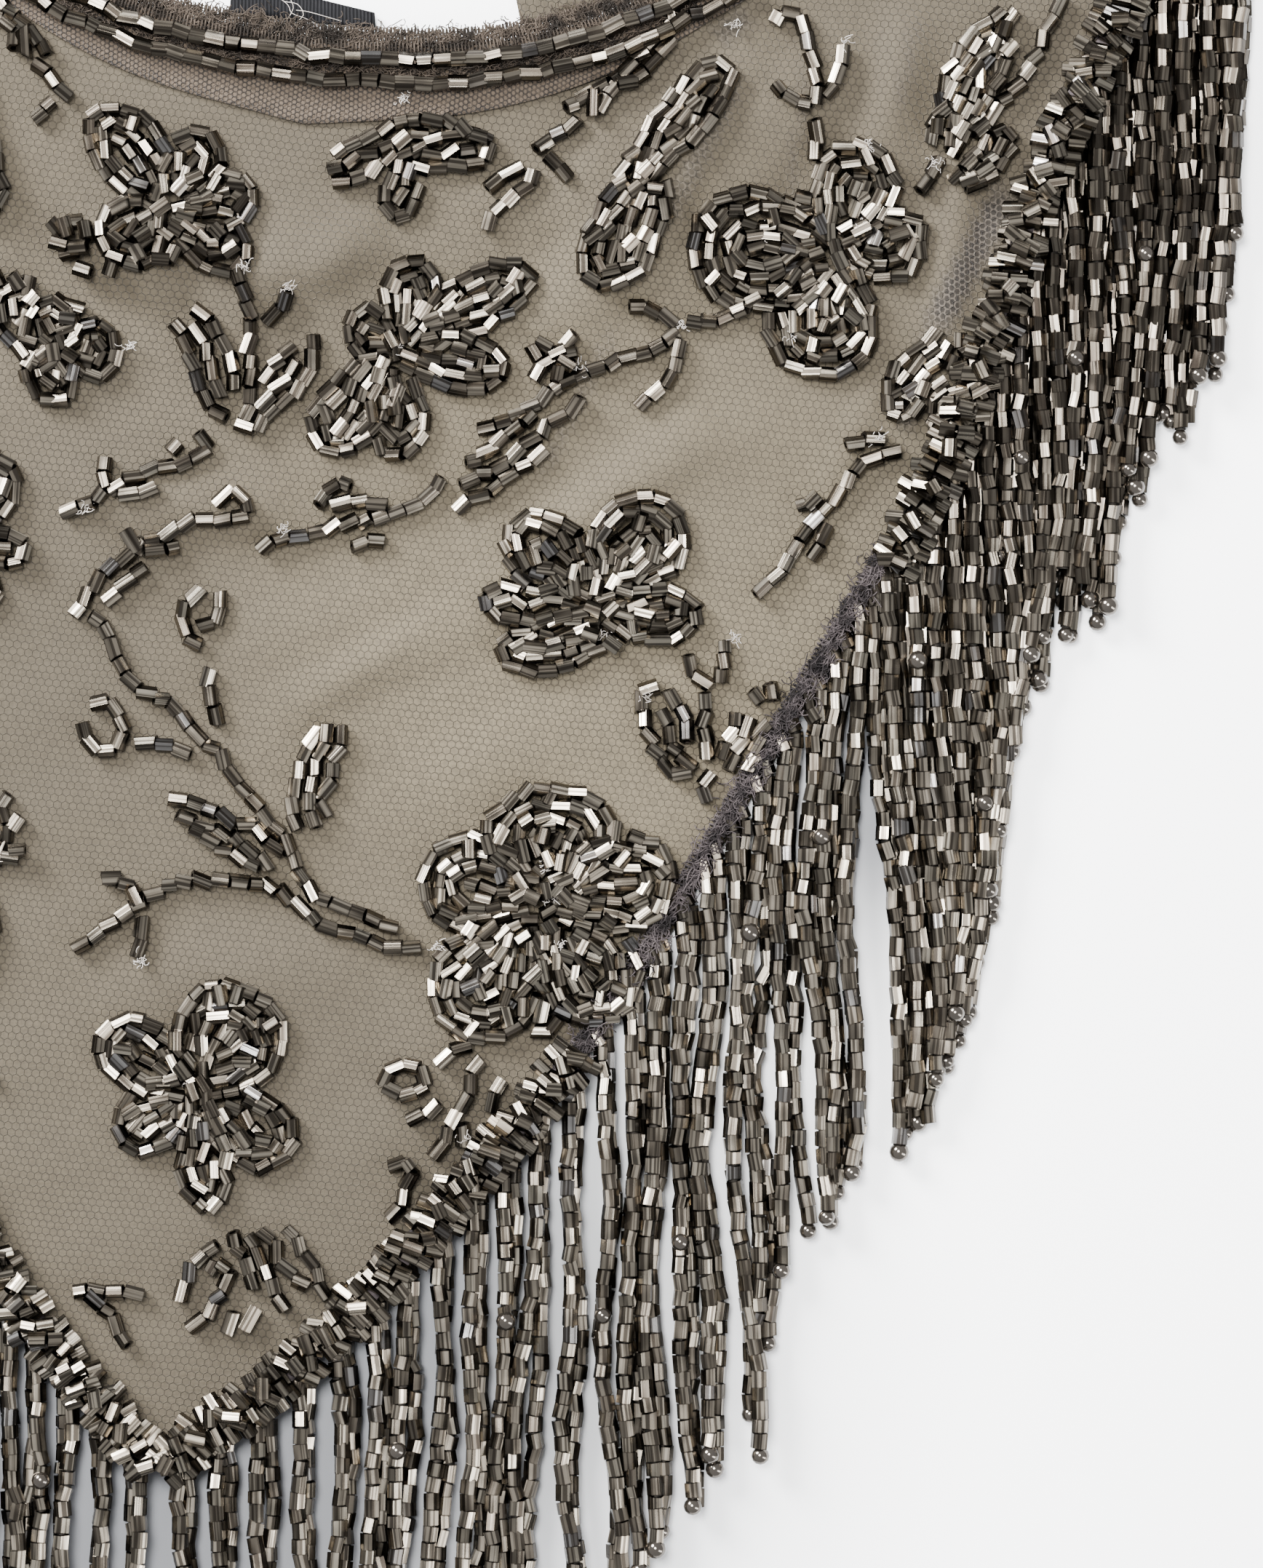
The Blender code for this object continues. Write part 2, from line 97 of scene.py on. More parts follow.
CORE_RADIUS = 1.5
MIDDLE_SHOWN = (0.03, -0.03, 0.0)  # what the soft boxes face, in metres
CAMERA_PLACE = (0.02745, -0.03077, 0.75)
CAMERA_LENS = 137.8
CLOTH_OUT = 0.8  # how far past the hem line things reach
LINING_OUT = 2.4
STRANDS_OUT = 1.2
LOWER_ROLL_OUT = 1.4
UPPER_ROLL_OUT = 2.5
OVERLOCK_OUT = 0.3
MIRROR_FROM_U = 25.0

# One half of the hem, from the front point up to the end of the tie. Columns: u, v.
HEM = (
    (0.0, -176.0), (17.4, -159.2), (34.6, -135.7), (48.6, -115.0), (59.3, -92.5), (69.8, -69.8),
    (78.6, -50.0), (84.6, -29.0), (90.2, -4.0), (97.0, 14.9), (104.6, 35.1), (112.5, 62.0), (119.5, 88.0),
    (126.0, 114.0),
)
# One half of the neckline, from its middle up to the end of the tie. Columns: u, v.
NECK = (
    (0.0, 2.6), (15.0, 3.6), (25.0, 5.6), (34.0, 9.0), (43.0, 14.0), (53.0, 22.0), (67.0, 38.0),
    (84.0, 64.0), (100.0, 94.0), (112.0, 118.0),
)
SEAM_AT_NECK = np.array((50.5, 20.0))
SEAM_AT_HEM = np.array((101.0, 27.0))
TIE_LAP = 3.0  # how far each tie reaches in under the bib

# Soft folds of the net. Columns: u and v at one end, u and v at the other, half width, height.
FOLDS = (
    (57.0, 8.0, 33.0, -34.0, 8.0, 2.6),
    (68.0, 10.0, 44.0, -30.0, 6.0, 1.6),
    (55.0, -40.0, 26.0, -70.0, 6.0, 1.8),
    (30.0, -68.0, 3.0, -83.0, 5.0, 1.2),
    (12.0, -21.0, -6.0, -31.0, 6.0, 2.0),
    (-12.0, -32.0, -27.0, -27.0, 6.0, 2.0),
    (83.0, 4.0, 81.5, -30.0, 4.0, 1.2),
    (73.5, 14.0, 73.0, -8.0, 5.0, 1.4),
    (4.0, -57.0, -24.0, -60.0, 7.0, 1.4),
    (20.0, -115.0, -14.0, -118.0, 9.0, 1.0),
)

# Finer creases of the net, across and down the view. Columns: two ends, half width, height.
CREASES = (
    (1010, 118, 900, 330, 2.6, 0.9), (1120, 60, 985, 250, 3.5, 0.5), (1262, 20, 1160, 300, 4.0, 0.5),
    (850, 460, 740, 660, 2.2, 0.45), (680, 790, 400, 985, 3.0, 0.5), (1230, 480, 1120, 720, 3.5, 0.5),
    (240, 330, 470, 300, 4.5, 0.8), (420, 300, 330, 400, 3.5, 0.5), (150, 360, 260, 420, 4.0, 0.6),
    (500, 330, 420, 420, 4.0, 0.6), (640, 260, 760, 330, 5.0, 0.7), (880, 130, 760, 330, 4.0, 0.6),
    (300, 900, 560, 850, 8.0, 0.7), (560, 1100, 820, 960, 7.0, 0.6), (900, 640, 1100, 560, 7.0, 0.7),
    (480, 1620, 640, 1400, 8.0, 0.6), (200, 1110, 480, 1160, 7.0, 0.5), (700, 700, 640, 820, 5.0, 0.4),
)
# Strips where the net lies double, across and down the view. Columns: two ends, half width, how dark.
DOUBLED = (
    (1020, 100, 905, 330, 1.5, 0.5), (1120, 30, 1075, 330, 0.9, 0.35), (1390, 250, 1275, 470, 2.1, 1.0),
    (1285, 440, 1235, 600, 1.5, 0.8), (852, 440, 738, 668, 1.0, 0.4), (985, 60, 1030, 20, 1.6, 0.6),
    (1262, 20, 1230, 160, 1.0, 0.4),
)

# Petals of the bead flowers, across and down the view. Columns: the inner end, the tip, the width.
PETALS = (
    # at the neck
    (238, 282, 131, 150, 112), (240, 282, 292, 178, 98), (232, 285, 362, 276, 96), (225, 298, 350, 366, 92),
    (222, 290, 146, 360, 112),
    # at the left edge of the view
    (92, 487, 170, 482, 96), (92, 487, 50, 556, 96), (92, 487, 50, 416, 96),
    # in the middle
    (552, 478, 575, 352, 92), (562, 472, 733, 370, 96), (550, 482, 704, 516, 94), (538, 493, 438, 626, 102),
    (540, 500, 556, 638, 94), (550, 470, 468, 452, 86),
    # on the side
    (1152, 345, 943, 350, 178), (1150, 338, 1195, 196, 126), (1150, 342, 1276, 338, 116),
    (1146, 360, 1111, 524, 168),
    # below it
    (812, 825, 700, 712, 124), (818, 820, 925, 688, 138), (818, 842, 968, 848, 92),
    (835, 872, 676, 902, 84), (815, 830, 652, 830, 66),
    # the large one at the hem
    (752, 1235, 573, 1201, 148), (754, 1240, 760, 1072, 194), (755, 1235, 936, 1197, 148),
    (754, 1250, 856, 1402, 154), (748, 1250, 614, 1420, 164), (752, 1300, 742, 1430, 74),
    # above the front point
    (266, 1488, 132, 1416, 110), (264, 1490, 166, 1572, 104), (262, 1490, 370, 1364, 168),
    (275, 1500, 405, 1592, 118), (278, 1505, 286, 1670, 86),
    # leaves
    (860, 262, 1008, 84, 84), (905, 240, 812, 404, 110), (560, 225, 686, 200, 66), (570, 222, 538, 312, 66),
    (1318, 262, 1400, 176, 56), (1288, 214, 1374, 22, 84), (1262, 560, 1206, 556, 56),
    (1300, 462, 1212, 556, 60),
)

# Where the rows of a flower meet in a heap. Columns: across and down the view, radius.
HEAPS = (
    (236, 290, 80), (190, 330, 55), (545, 470, 60), (1140, 335, 74), (822, 840, 52), (754, 1240, 62),
    (266, 1492, 46), (92, 487, 26), (756, 492, 34), (1300, 520, 62),
)

# Loose ends of pale sewing thread, across and down the view.
STITCH_ENDS = (
    (1194, 208), (1184, 313), (1056, 325), (1087, 466), (751, 1193), (757, 1239), (770, 1300), (797, 506),
    (401, 398), (1160, 66), (1012, 40), (556, 140), (830, 870), (886, 958), (1010, 878), (196, 1320),
    (600, 1300), (640, 1560), (1204, 603), (180, 480), (118, 703), (390, 730), (262, 1490), (1284, 228),
    (940, 452), (340, 372), (545, 478),
)

# Single rows of beads, across and down the view.
SPRIGS = (
    # stem under the flower at the neck, and its leaves
    ((324, 375), (340, 391), (341, 423), (344, 455), (348, 503), (345, 551), (340, 582)),
    ((401, 404), (382, 429), (369, 449)),
    ((240, 442), (257, 471), (264, 503), (276, 531), (292, 557), (311, 579)),
    ((267, 448), (283, 477), (294, 503), (302, 531), (308, 547)),
    ((273, 426), (295, 452), (311, 480), (321, 509), (324, 538)),
    ((429, 461), (433, 487), (426, 512), (413, 531), (394, 551), (372, 573), (350, 592), (327, 586)),
    ((404, 474), (388, 496), (372, 516), (362, 531)),
    ((407, 499), (393, 525), (375, 547), (359, 563)),
    # left edge
    ((144, 627), (146, 646), (150, 665), (142, 681), (130, 691), (112, 700), (90, 706)),
    ((155, 678), (171, 668), (190, 656), (212, 645), (235, 643), (260, 640), (276, 629), (286, 617),
     (276, 598)),
    ((248, 608), (235, 624)),
    ((168, 681), (193, 680), (216, 673)),
    ((100, 850), (123, 825), (136, 802), (149, 786), (161, 780), (181, 766), (197, 755), (216, 742),
     (238, 732), (254, 723), (270, 715), (289, 713), (311, 716), (334, 713), (353, 697), (340, 684),
     (321, 681), (299, 689)),
    ((177, 729), (190, 742), (192, 755)),
    ((203, 758), (225, 758), (251, 751)),
    ((206, 780), (184, 796), (165, 812), (149, 831)),
    ((126, 845), (149, 862), (155, 882), (165, 911), (181, 935), (200, 951), (232, 964), (257, 986),
     (276, 1012), (302, 1031), (318, 1059), (334, 1082), (353, 1101), (375, 1130), (394, 1149), (407, 1171),
     (409, 1197), (420, 1216), (436, 1232), (455, 1241), (476, 1243), (506, 1260), (528, 1270),
     (550, 1276)),
    ((279, 809), (257, 828), (251, 852), (257, 872), (276, 892)),
    ((299, 815), (305, 837), (294, 860), (275, 865)),
    ((289, 920), (291, 940), (294, 960), (300, 995)),
    ((126, 968), (152, 965), (168, 984), (171, 1006), (158, 1032), (139, 1035), (122, 1016), (116, 990)),
    ((187, 1019), (219, 1022), (244, 1029), (267, 1035)),
    ((104, 1302), (126, 1289), (149, 1273), (168, 1260), (190, 1244), (212, 1228), (232, 1216), (248, 1209),
     (267, 1209), (292, 1209), (311, 1206), (340, 1209), (362, 1216), (391, 1225), (410, 1243), (437, 1264),
     (461, 1276), (496, 1283), (519, 1295), (538, 1303), (560, 1303), (579, 1302)),
    ((145, 1203), (171, 1211), (189, 1222), (197, 1238)),
    ((197, 1260), (198, 1270), (197, 1292), (189, 1315)),
    # two leaves at the long stem
    ((439, 1005), (426, 1028), (417, 1047), (412, 1063), (405, 1082), (404, 1104), (409, 1126),
     (413, 1142)),
    ((448, 996), (448, 1028), (437, 1043), (434, 1063), (429, 1082), (426, 1101), (429, 1123), (439, 1139)),
    ((471, 1000), (468, 1031), (461, 1047), (458, 1066), (450, 1085), (448, 1104), (450, 1123)),
    ((235, 1098), (268, 1104), (289, 1117), (311, 1120), (327, 1130), (356, 1139), (372, 1152),
     (385, 1171)),
    ((248, 1117), (273, 1130), (295, 1142), (318, 1147), (337, 1161), (362, 1177), (378, 1193)),
    ((263, 1136), (289, 1152), (305, 1165), (327, 1174), (343, 1181), (359, 1190)),
    # from the middle flower
    ((356, 755), (375, 748), (394, 739), (417, 739), (439, 732), (458, 726), (477, 719), (496, 716),
     (519, 716), (538, 710), (557, 700), (576, 694), (592, 681), (598, 668), (611, 656)),
    ((487, 667), (468, 665), (448, 681), (439, 697)),
    ((458, 697), (477, 691), (496, 692), (515, 694), (535, 697)),
    ((487, 755), (509, 745), (531, 745)),
    ((503, 739), (531, 734)),
    ((776, 528), (744, 550), (700, 577), (657, 593)),
    ((797, 550), (754, 587), (711, 625), (668, 657), (636, 668)),
    ((754, 620), (700, 657), (668, 679), (625, 700)),
    ((735, 570), (700, 600), (665, 628), (640, 640)),
    # over the middle
    ((456, 219), (483, 205), (507, 193), (527, 185), (555, 175), (582, 171), (614, 171), (642, 183),
     (673, 195)),
    ((452, 235), (476, 230), (495, 221), (515, 212), (535, 203), (559, 191), (590, 189)),
    ((456, 254), (483, 247), (507, 239), (535, 223), (555, 209), (571, 215)),
    ((929, 16), (913, 46), (897, 62), (878, 80), (862, 99), (848, 107), (830, 121), (811, 134), (789, 147),
     (781, 158)),
    ((921, 59), (905, 80), (889, 102), (873, 115), (851, 118), (835, 129), (824, 158)),
    ((822, 129), (814, 145), (808, 161)),
    ((795, 169), (779, 179), (768, 188), (750, 199), (741, 211)),
    ((717, 231), (693, 247), (669, 262)),
    ((737, 235), (733, 250), (713, 266), (693, 286), (677, 302), (667, 318)),
    ((756, 215), (768, 235), (780, 247)),
    # from the flower on the side
    ((1024, 427), (1000, 434), (973, 446), (942, 448)),
    ((863, 421), (887, 424), (911, 436), (930, 444)),
    ((930, 456), (914, 468), (899, 484), (879, 488), (855, 496), (835, 504), (812, 511), (788, 521),
     (768, 531)),
    ((934, 472), (926, 500), (918, 523), (899, 543), (875, 559)),
    ((1061, 38), (1078, 16), (1099, 32), (1110, 65), (1117, 97), (1121, 129), (1119, 150)),
    ((1158, 70), (1153, 108), (1131, 140)),
    ((1061, 124), (1088, 140), (1115, 151)),
    ((1121, 170), (1122, 192), (1120, 226)),
    # upper right
    ((1374, 15), (1364, 31), (1353, 55), (1339, 76), (1328, 98), (1315, 119), (1299, 149), (1292, 170),
     (1286, 191)),
    ((1399, 21), (1382, 38), (1370, 63), (1360, 86), (1349, 111), (1330, 142), (1316, 164), (1307, 184),
     (1303, 208)),
    ((1387, 61), (1382, 84), (1372, 107), (1359, 132), (1345, 147), (1332, 164)),
    ((1458, 0), (1437, 38), (1431, 55), (1422, 80), (1410, 99), (1397, 119), (1382, 138), (1364, 155),
     (1349, 176), (1336, 189)),
    ((1380, 178), (1362, 191), (1347, 207), (1332, 226), (1316, 245), (1303, 254)),
    ((1387, 191), (1372, 214), (1355, 229), (1336, 245), (1316, 256)),
    ((1290, 222), (1276, 245), (1262, 268)),
    # right of the middle, at the hem
    ((1232, 619), (1208, 630), (1189, 641), (1167, 654), (1154, 676), (1141, 692), (1119, 713), (1103, 735),
     (1090, 756), (1074, 786), (1055, 802), (1039, 818)),
    ((1159, 619), (1178, 609), (1197, 606), (1213, 603)),
    ((1090, 697), (1108, 692), (1127, 689)),
    ((1135, 724), (1124, 743), (1116, 772)),
    # at the flower below it
    ((902, 945), (881, 953), (887, 990), (891, 1016), (898, 1037), (912, 1051), (928, 1063), (947, 1059)),
    ((908, 971), (914, 986), (920, 1002), (920, 1022), (938, 1039), (951, 1059)),
    ((918, 949), (930, 965), (940, 980), (947, 996), (942, 1016)),
    ((971, 951), (967, 969), (966, 988), (971, 1006), (975, 1027), (965, 1043)),
    ((938, 906), (951, 916), (963, 931), (973, 945)),
    ((998, 880), (998, 906), (993, 924), (987, 939)),
    ((1032, 949), (1044, 965)),
    ((1059, 941), (1065, 965)),
    ((1012, 980), (1006, 1000), (998, 1018), (991, 1041)),
    ((1032, 986), (1024, 1006), (1018, 1022), (1010, 1043), (1004, 1061)),
    ((1053, 990), (1044, 1016), (1038, 1039), (1026, 1059)),
    ((979, 1063), (963, 1084), (971, 1102)),
    # at the large flower
    ((556, 1462), (579, 1467), (589, 1492), (566, 1502), (546, 1502), (528, 1490), (533, 1472),
     (556, 1462)),
    ((602, 1462), (622, 1444), (645, 1431)),
    ((663, 1451), (653, 1474), (645, 1500), (633, 1525), (620, 1543), (612, 1569), (594, 1587)),
    ((561, 1538), (582, 1528), (607, 1518)),
    ((538, 1604), (554, 1592), (569, 1597), (566, 1615), (561, 1633), (546, 1658), (531, 1671)),
    ((638, 1548), (633, 1574)),
    ((694, 1480), (679, 1505), (674, 1525)),
    # fan above the front point
    ((253, 1782), (257, 1766), (263, 1750), (270, 1733), (286, 1717), (305, 1707)),
    ((289, 1753), (297, 1733), (318, 1743), (317, 1763), (302, 1776), (299, 1792), (283, 1808),
     (260, 1818)),
    ((322, 1688), (328, 1717), (344, 1730), (348, 1769)),
    ((344, 1694), (357, 1720), (374, 1759), (383, 1779), (396, 1798)),
    ((362, 1685), (377, 1707), (390, 1730), (403, 1746), (416, 1759), (426, 1769)),
    ((390, 1685), (406, 1698), (416, 1717), (432, 1733), (440, 1756), (448, 1782)),
    ((325, 1802), (315, 1831)),
    ((348, 1798), (341, 1828)),
    ((100, 1772), (120, 1772), (146, 1772), (169, 1774), (198, 1774)),
    ((126, 1776), (146, 1795), (162, 1811), (169, 1834), (175, 1850)),
)
# The beaded rolls of the hem: name, from v, to v, how far out. The bare hem between them: from v, to v.
ROLLS = (("lower", -178.0, -121.0, LOWER_ROLL_OUT), ("upper", -56.0, 24.0, UPPER_ROLL_OUT))
BARE_HEM = ((-123.0, -54.0), (22.0, 60.0))


def on_view(table):
    """Places given across and down the view, in the row frame."""
    return VIEW_CORNER + np.array(table, float) * (1, -1) / VIEW_UNITS


def to_garment(points):
    x, y = (points - NECK_POINT).T
    return np.stack((x * math.cos(TILT) - y * math.sin(TILT), x * math.sin(TILT) + y * math.cos(TILT)), 1)


def to_row(points):
    u, v = points.T
    x = u * math.cos(TILT) + v * math.sin(TILT)
    y = v * math.cos(TILT) - u * math.sin(TILT)
    return np.stack((x, y), 1) + NECK_POINT


def mirrored(points):
    """The same places on the garment's other half, in the row frame."""
    return to_row(to_garment(points) * (-1, 1))


def even_points(line, step):
    """Points about step apart on a line."""
    along = np.append(0, np.cumsum(np.linalg.norm(np.diff(line, axis=0), axis=1)))
    wanted = np.linspace(0, along[-1], max(1, round(along[-1] / step)) + 1)
    return np.stack([np.interp(wanted, along, column) for column in line.T], 1)


def smooth_line(table, step):
    """Evenly spaced points on the smooth curve through a table's points."""
    knots = np.array(table, float)
    knots = np.vstack((2 * knots[0] - knots[1], knots, 2 * knots[-1] - knots[-2]))
    t = np.linspace(0, 1, 16, endpoint=False)[:, None]
    fine = []
    for a, b, c, d in zip(knots, knots[1:], knots[2:], knots[3:]):
        fine.append(
            0.5 * (2 * b + (c - a) * t + (2 * a - 5 * b + 4 * c - d) * t**2 + (3 * b - a - 3 * c + d) * t**3)
        )
    return even_points(np.vstack(fine + [knots[-2:-1]]), step)


def runs(line):
    """The direction of a line at each of its points."""
    run = np.gradient(line, axis=0)
    return run / np.linalg.norm(run, axis=1)[:, None]


def outward_of(line):
    """The direction square to a line at each of its points, to its right."""
    run = runs(line)
    return np.stack((run[:, 1], -run[:, 0]), 1)


def moved_in(line, distance):
    """The line moved to its left, seen along it."""
    return line - outward_of(line) * distance


def other_side(line):
    return line * (-1, 1)


def on_side(points, side):
    """Places of the garment's right half, or the same on its left half, in the row frame."""
    return to_row(points if side > 0 else other_side(points))


def past_seam(line):
    """How far each point lies above the tie's seam."""
    run = (SEAM_AT_HEM - SEAM_AT_NECK) / np.linalg.norm(SEAM_AT_HEM - SEAM_AT_NECK)
    off = line - SEAM_AT_NECK
    return run[0] * off[:, 1] - run[1] * off[:, 0]


def hem_line(step):
    return smooth_line(HEM, step)


def neck_line(step):
    half = smooth_line(NECK, step)
    return np.vstack((other_side(half)[:0:-1], half))


def bib_outline(inset):
    """A cloth's edge in the garment's frame, anticlockwise from the front point."""
    side = moved_in(hem_line(3.0), inset)
    side[0] = (0.0, side[0][1] + 0.6)
    side = side[past_seam(side) < 0]
    neck = moved_in(neck_line(3.0), -1.6)
    half = neck[(neck[:, 0] > -0.1) & (past_seam(neck) < 0)]
    return np.vstack((side, half[::-1], other_side(half[1:]), other_side(side)[:0:-1]))


def tie_outline(side):
    outer = moved_in(hem_line(4.0), 1.2)
    inner = smooth_line(NECK, 4.0)
    outline = np.vstack((outer[past_seam(outer) > -TIE_LAP], inner[past_seam(inner) > -TIE_LAP][::-1]))
    return outline if side > 0 else other_side(outline)[::-1]


def fold_height(points):
    """How far the net rises above the flat, at places of the garment's frame."""
    total = np.zeros(len(points))
    rows = list(FOLDS)
    for u0, v0, u1, v1, half_width, height in FOLDS:
        if min(u0, u1) > MIRROR_FROM_U:
            rows.append((-u0, v0, -u1, v1, half_width, 0.8 * height))
    for u0, v0, u1, v1, half_width, height in rows:
        along, aside = from_line(points, (u0, v0), (u1, v1))
        on = (along > 0) & (along < 1) & (aside < half_width)
        soft = 0.5 + 0.5 * np.cos(np.pi * aside / half_width)
        total += np.where(on, height * soft * np.sin(np.pi * np.clip(along, 0, 1)) ** 0.7, 0)
    return total


def from_line(points, start, stop):
    """How far along the line between two ends places lie, as a share, and how far aside of it."""
    run = np.subtract(stop, start)
    off = points - start
    along = off @ run / (run @ run)
    aside = np.abs(off[:, 0] * run[1] - off[:, 1] * run[0]) / np.linalg.norm(run)
    return along, aside


def crease_height(points):
    total = np.zeros(len(points))
    for a, b, c, d, half_width, height in CREASES:
        along, aside = from_line(points, *on_view(((a, b), (c, d))))
        on = (along > 0) & (along < 1) & (aside < half_width)
        soft = (0.5 + 0.5 * np.cos(np.pi * aside / half_width)) * np.sin(np.pi * np.clip(along, 0, 1))
        total += np.where(on, height * soft, 0)
    return total


def doubled_share(points):
    """How much the net lies double at places of the row frame."""
    share = np.zeros(len(points))
    for a, b, c, d, half_width, dark in DOUBLED:
        along, aside = from_line(points, *on_view(((a, b), (c, d))))
        inside = np.clip((half_width - aside) / 0.6, 0, 1)
        inside = inside * np.clip(along * 6, 0, 1) * np.clip(6 - along * 6, 0, 1)
        share = np.maximum(share, inside * dark)
    return share


def net_top(points):
    """The height of the net's upper face at places of the row frame."""
    uv = to_garment(points)
    u, v = uv.T
    fine = 0.12 * np.sin(0.31 * u + 0.17 * v + 1.3 * np.sin(0.05 * v))
    fine = fine + 0.08 * np.sin(0.43 * v - 0.21 * u + 2.0)
    return NET_TOP + fold_height(uv) + crease_height(points) + fine


class BeadPile:
    """Beads of one piece, each from one point of a thread to the next."""

    def __init__(self, name, seed):
        self.name = name
        self.rng = np.random.default_rng(seed)
        self.starts = []
        self.ends = []
        self.radii = []

    def thread(self, nodes, radius, shake=0.1):
        """Beads along a line of points in 3-D, each a little out of line."""
        nodes = nodes + self.rng.normal(0, shake, nodes.shape) * (1, 1, 0.4)
        gap = 0.005 + 0.02 * self.rng.random((len(nodes) - 1, 1))
        span = nodes[1:] - nodes[:-1]
        self.starts.append(nodes[:-1] + span * gap)
        self.ends.append(nodes[1:] - span * gap)
        self.radii.append(np.full(len(span), radius) * self.rng.uniform(0.94, 1.05, len(span)))

    def row_on_net(self, line, lift=0.0, shake=0.17, radius=BEAD_RADIUS):
        """A row sewn along a line of the row frame."""
        flat = even_points(line, BEAD_PITCH)
        if len(flat) < 2:
            return
        height = net_top(flat) + radius + lift
        self.thread(np.column_stack((flat, height)), radius, shake)

    def heap(self, spots, rise):
        """Loose beads where the rows leave room."""
        for spot, heading in spots:
            middles = (np.vstack(self.starts) + np.vstack(self.ends)) / 2
            if np.hypot(*(middles[:, :2] - spot).T).min() < 1.25:
                continue
            turn = heading + self.rng.normal(0, 0.5)
            half = np.array((math.cos(turn), math.sin(turn))) * BEAD_PITCH / 2
            ends = np.array((spot - half, spot + half))
            height = net_top(ends) + BEAD_RADIUS + rise * self.rng.random()
            self.thread(np.column_stack((ends, height)), BEAD_RADIUS, 0.1)

    def settle(self):
        """Lifts the beads that lie on others, leaves out those that would lie in one, and turns all."""
        start, end, radius = np.vstack(self.starts), np.vstack(self.ends), np.concatenate(self.radii)
        middle = (start + end) / 2
        kept = []
        for i, point in enumerate(middle):
            if kept:
                off = middle[kept] - point
                near = np.hypot(off[:, 0], off[:, 1])
                if near.min() < TOO_CLOSE or (near.min() < CLOSE and self.rng.random() < CLOSE_LEFT_OUT):
                    continue
                middle[i, 2] += 0.9 * np.clip((1.75 - near) / 1.1, 0, 1).max()
                end[i, 2] += self.rng.normal(0, 0.3)
            kept.append(i)
        turn = self.rng.normal(0, 0.2, (len(kept), 1))
        half = (end[kept] - start[kept]) / 2
        half = half + turn * np.column_stack((-half[:, 1], half[:, 0], np.zeros(len(kept))))
        self.starts, self.ends, self.radii = [middle[kept] - half], [middle[kept] + half], [radius[kept]]

    def built(self, finish, slot):
        start, end, radius = np.vstack(self.starts), np.vstack(self.ends), np.concatenate(self.radii)
        return joined_beads(self.name, start, end, radius, self.rng, finish, slot)


def bead_form(bored):
    """One six-sided bead of unit size: its points, its faces, their kinds and their corners' places."""
    bm = bmesh.new()
    bmesh.ops.create_cone(bm, cap_ends=True, segments=6, radius1=1, radius2=1, depth=1)
    caps = [f for f in bm.faces if len(f.verts) == 6]
    if bored:
        bmesh.ops.inset_individual(bm, faces=caps, thickness=0.46)
        bmesh.ops.delete(bm, geom=caps, context="FACES_ONLY")
        bmesh.ops.bridge_loops(bm, edges=[e for e in bm.edges if e.is_boundary])
    else:
        for cap in caps:
            bmesh.ops.connect_verts(bm, verts=[cap.verts[0], cap.verts[3]])
    bmesh.ops.recalc_face_normals(bm, faces=bm.faces)
    points = np.array([v.co for v in bm.verts])
    faces = np.array([[v.index for v in f.verts] for f in bm.faces])
    kinds = []
    round_about = []
    for face in bm.faces:
        middle = face.calc_center_median()
        kinds.append("end" if abs(face.normal.z) > 0.5 else "side" if middle.xy.length > 0.7 else "hole")
        facet = round(math.atan2(middle.y, middle.x) / math.radians(60) + 3)
        for corner in face.verts:
            left = middle.x * corner.co.y - middle.y * corner.co.x > 0
            round_about.append((facet + left, corner.co.z + 0.5))
    bm.free()
    return points, faces, np.array(kinds), np.array(round_about)


def facet_tones(corners, kinds, rng):
    """Each facet's brightness, after how squarely it faces the soft box over the table: painted highlights
    and painted reflections on the facets that face it, painted shade on the bead's ends and in its holes.
    """
    normal = np.cross(corners[:, :, 2] - corners[:, :, 0], corners[:, :, 3] - corners[:, :, 1])
    normal /= np.linalg.norm(normal, axis=2)[:, :, None]
    toward = np.clip((normal @ SOFT_BOX - 0.35) / 0.6, 0, 1)
    lit = rng.random(toward.shape) < 0.2 + 0.42 * toward
    bright = (0.3 + 0.7 * toward) * rng.uniform(0.45, 1.0, (len(corners), 1))
    bright = bright * rng.uniform(0.75, 1.05, toward.shape)
    tone = np.where(lit, bright, 0.05 + 0.22 * rng.random(toward.shape))
    # Painted shade: the ends are darkened and the holes made black.
    tone = np.where(kinds == "end", tone * 0.35, np.where(kinds == "hole", 0.0, tone))
    return np.clip(tone, 0, 1)


def bead_axes(run, rng):
    """Two directions across each bead, turned about it at random."""
    side = np.cross(run, (0.0, 0.0, 1.0))
    flat = np.linalg.norm(side, axis=1) < 0.2
    side[flat] = np.cross(run[flat], (0.0, 1.0, 0.0))
    side /= np.linalg.norm(side, axis=1)[:, None]
    up = np.cross(side, run)
    turn = rng.uniform(0, math.pi / 3, len(run))[:, None]
    return np.cos(turn) * side + np.sin(turn) * up, np.cos(turn) * up - np.sin(turn) * side


def light_share(start, slot):
    """How much light reaches each bead."""
    u, v = to_garment(start[:, :2]).T
    if slot == "strand_beads":
        return 1 - PILE_SHADE * np.clip((v + 85) / 55, 0, 1)
    return 1 - NECK_SHADE * np.clip((65 - u) / 20, 0, 1) * np.clip((v + 60) / 25, 0, 1)


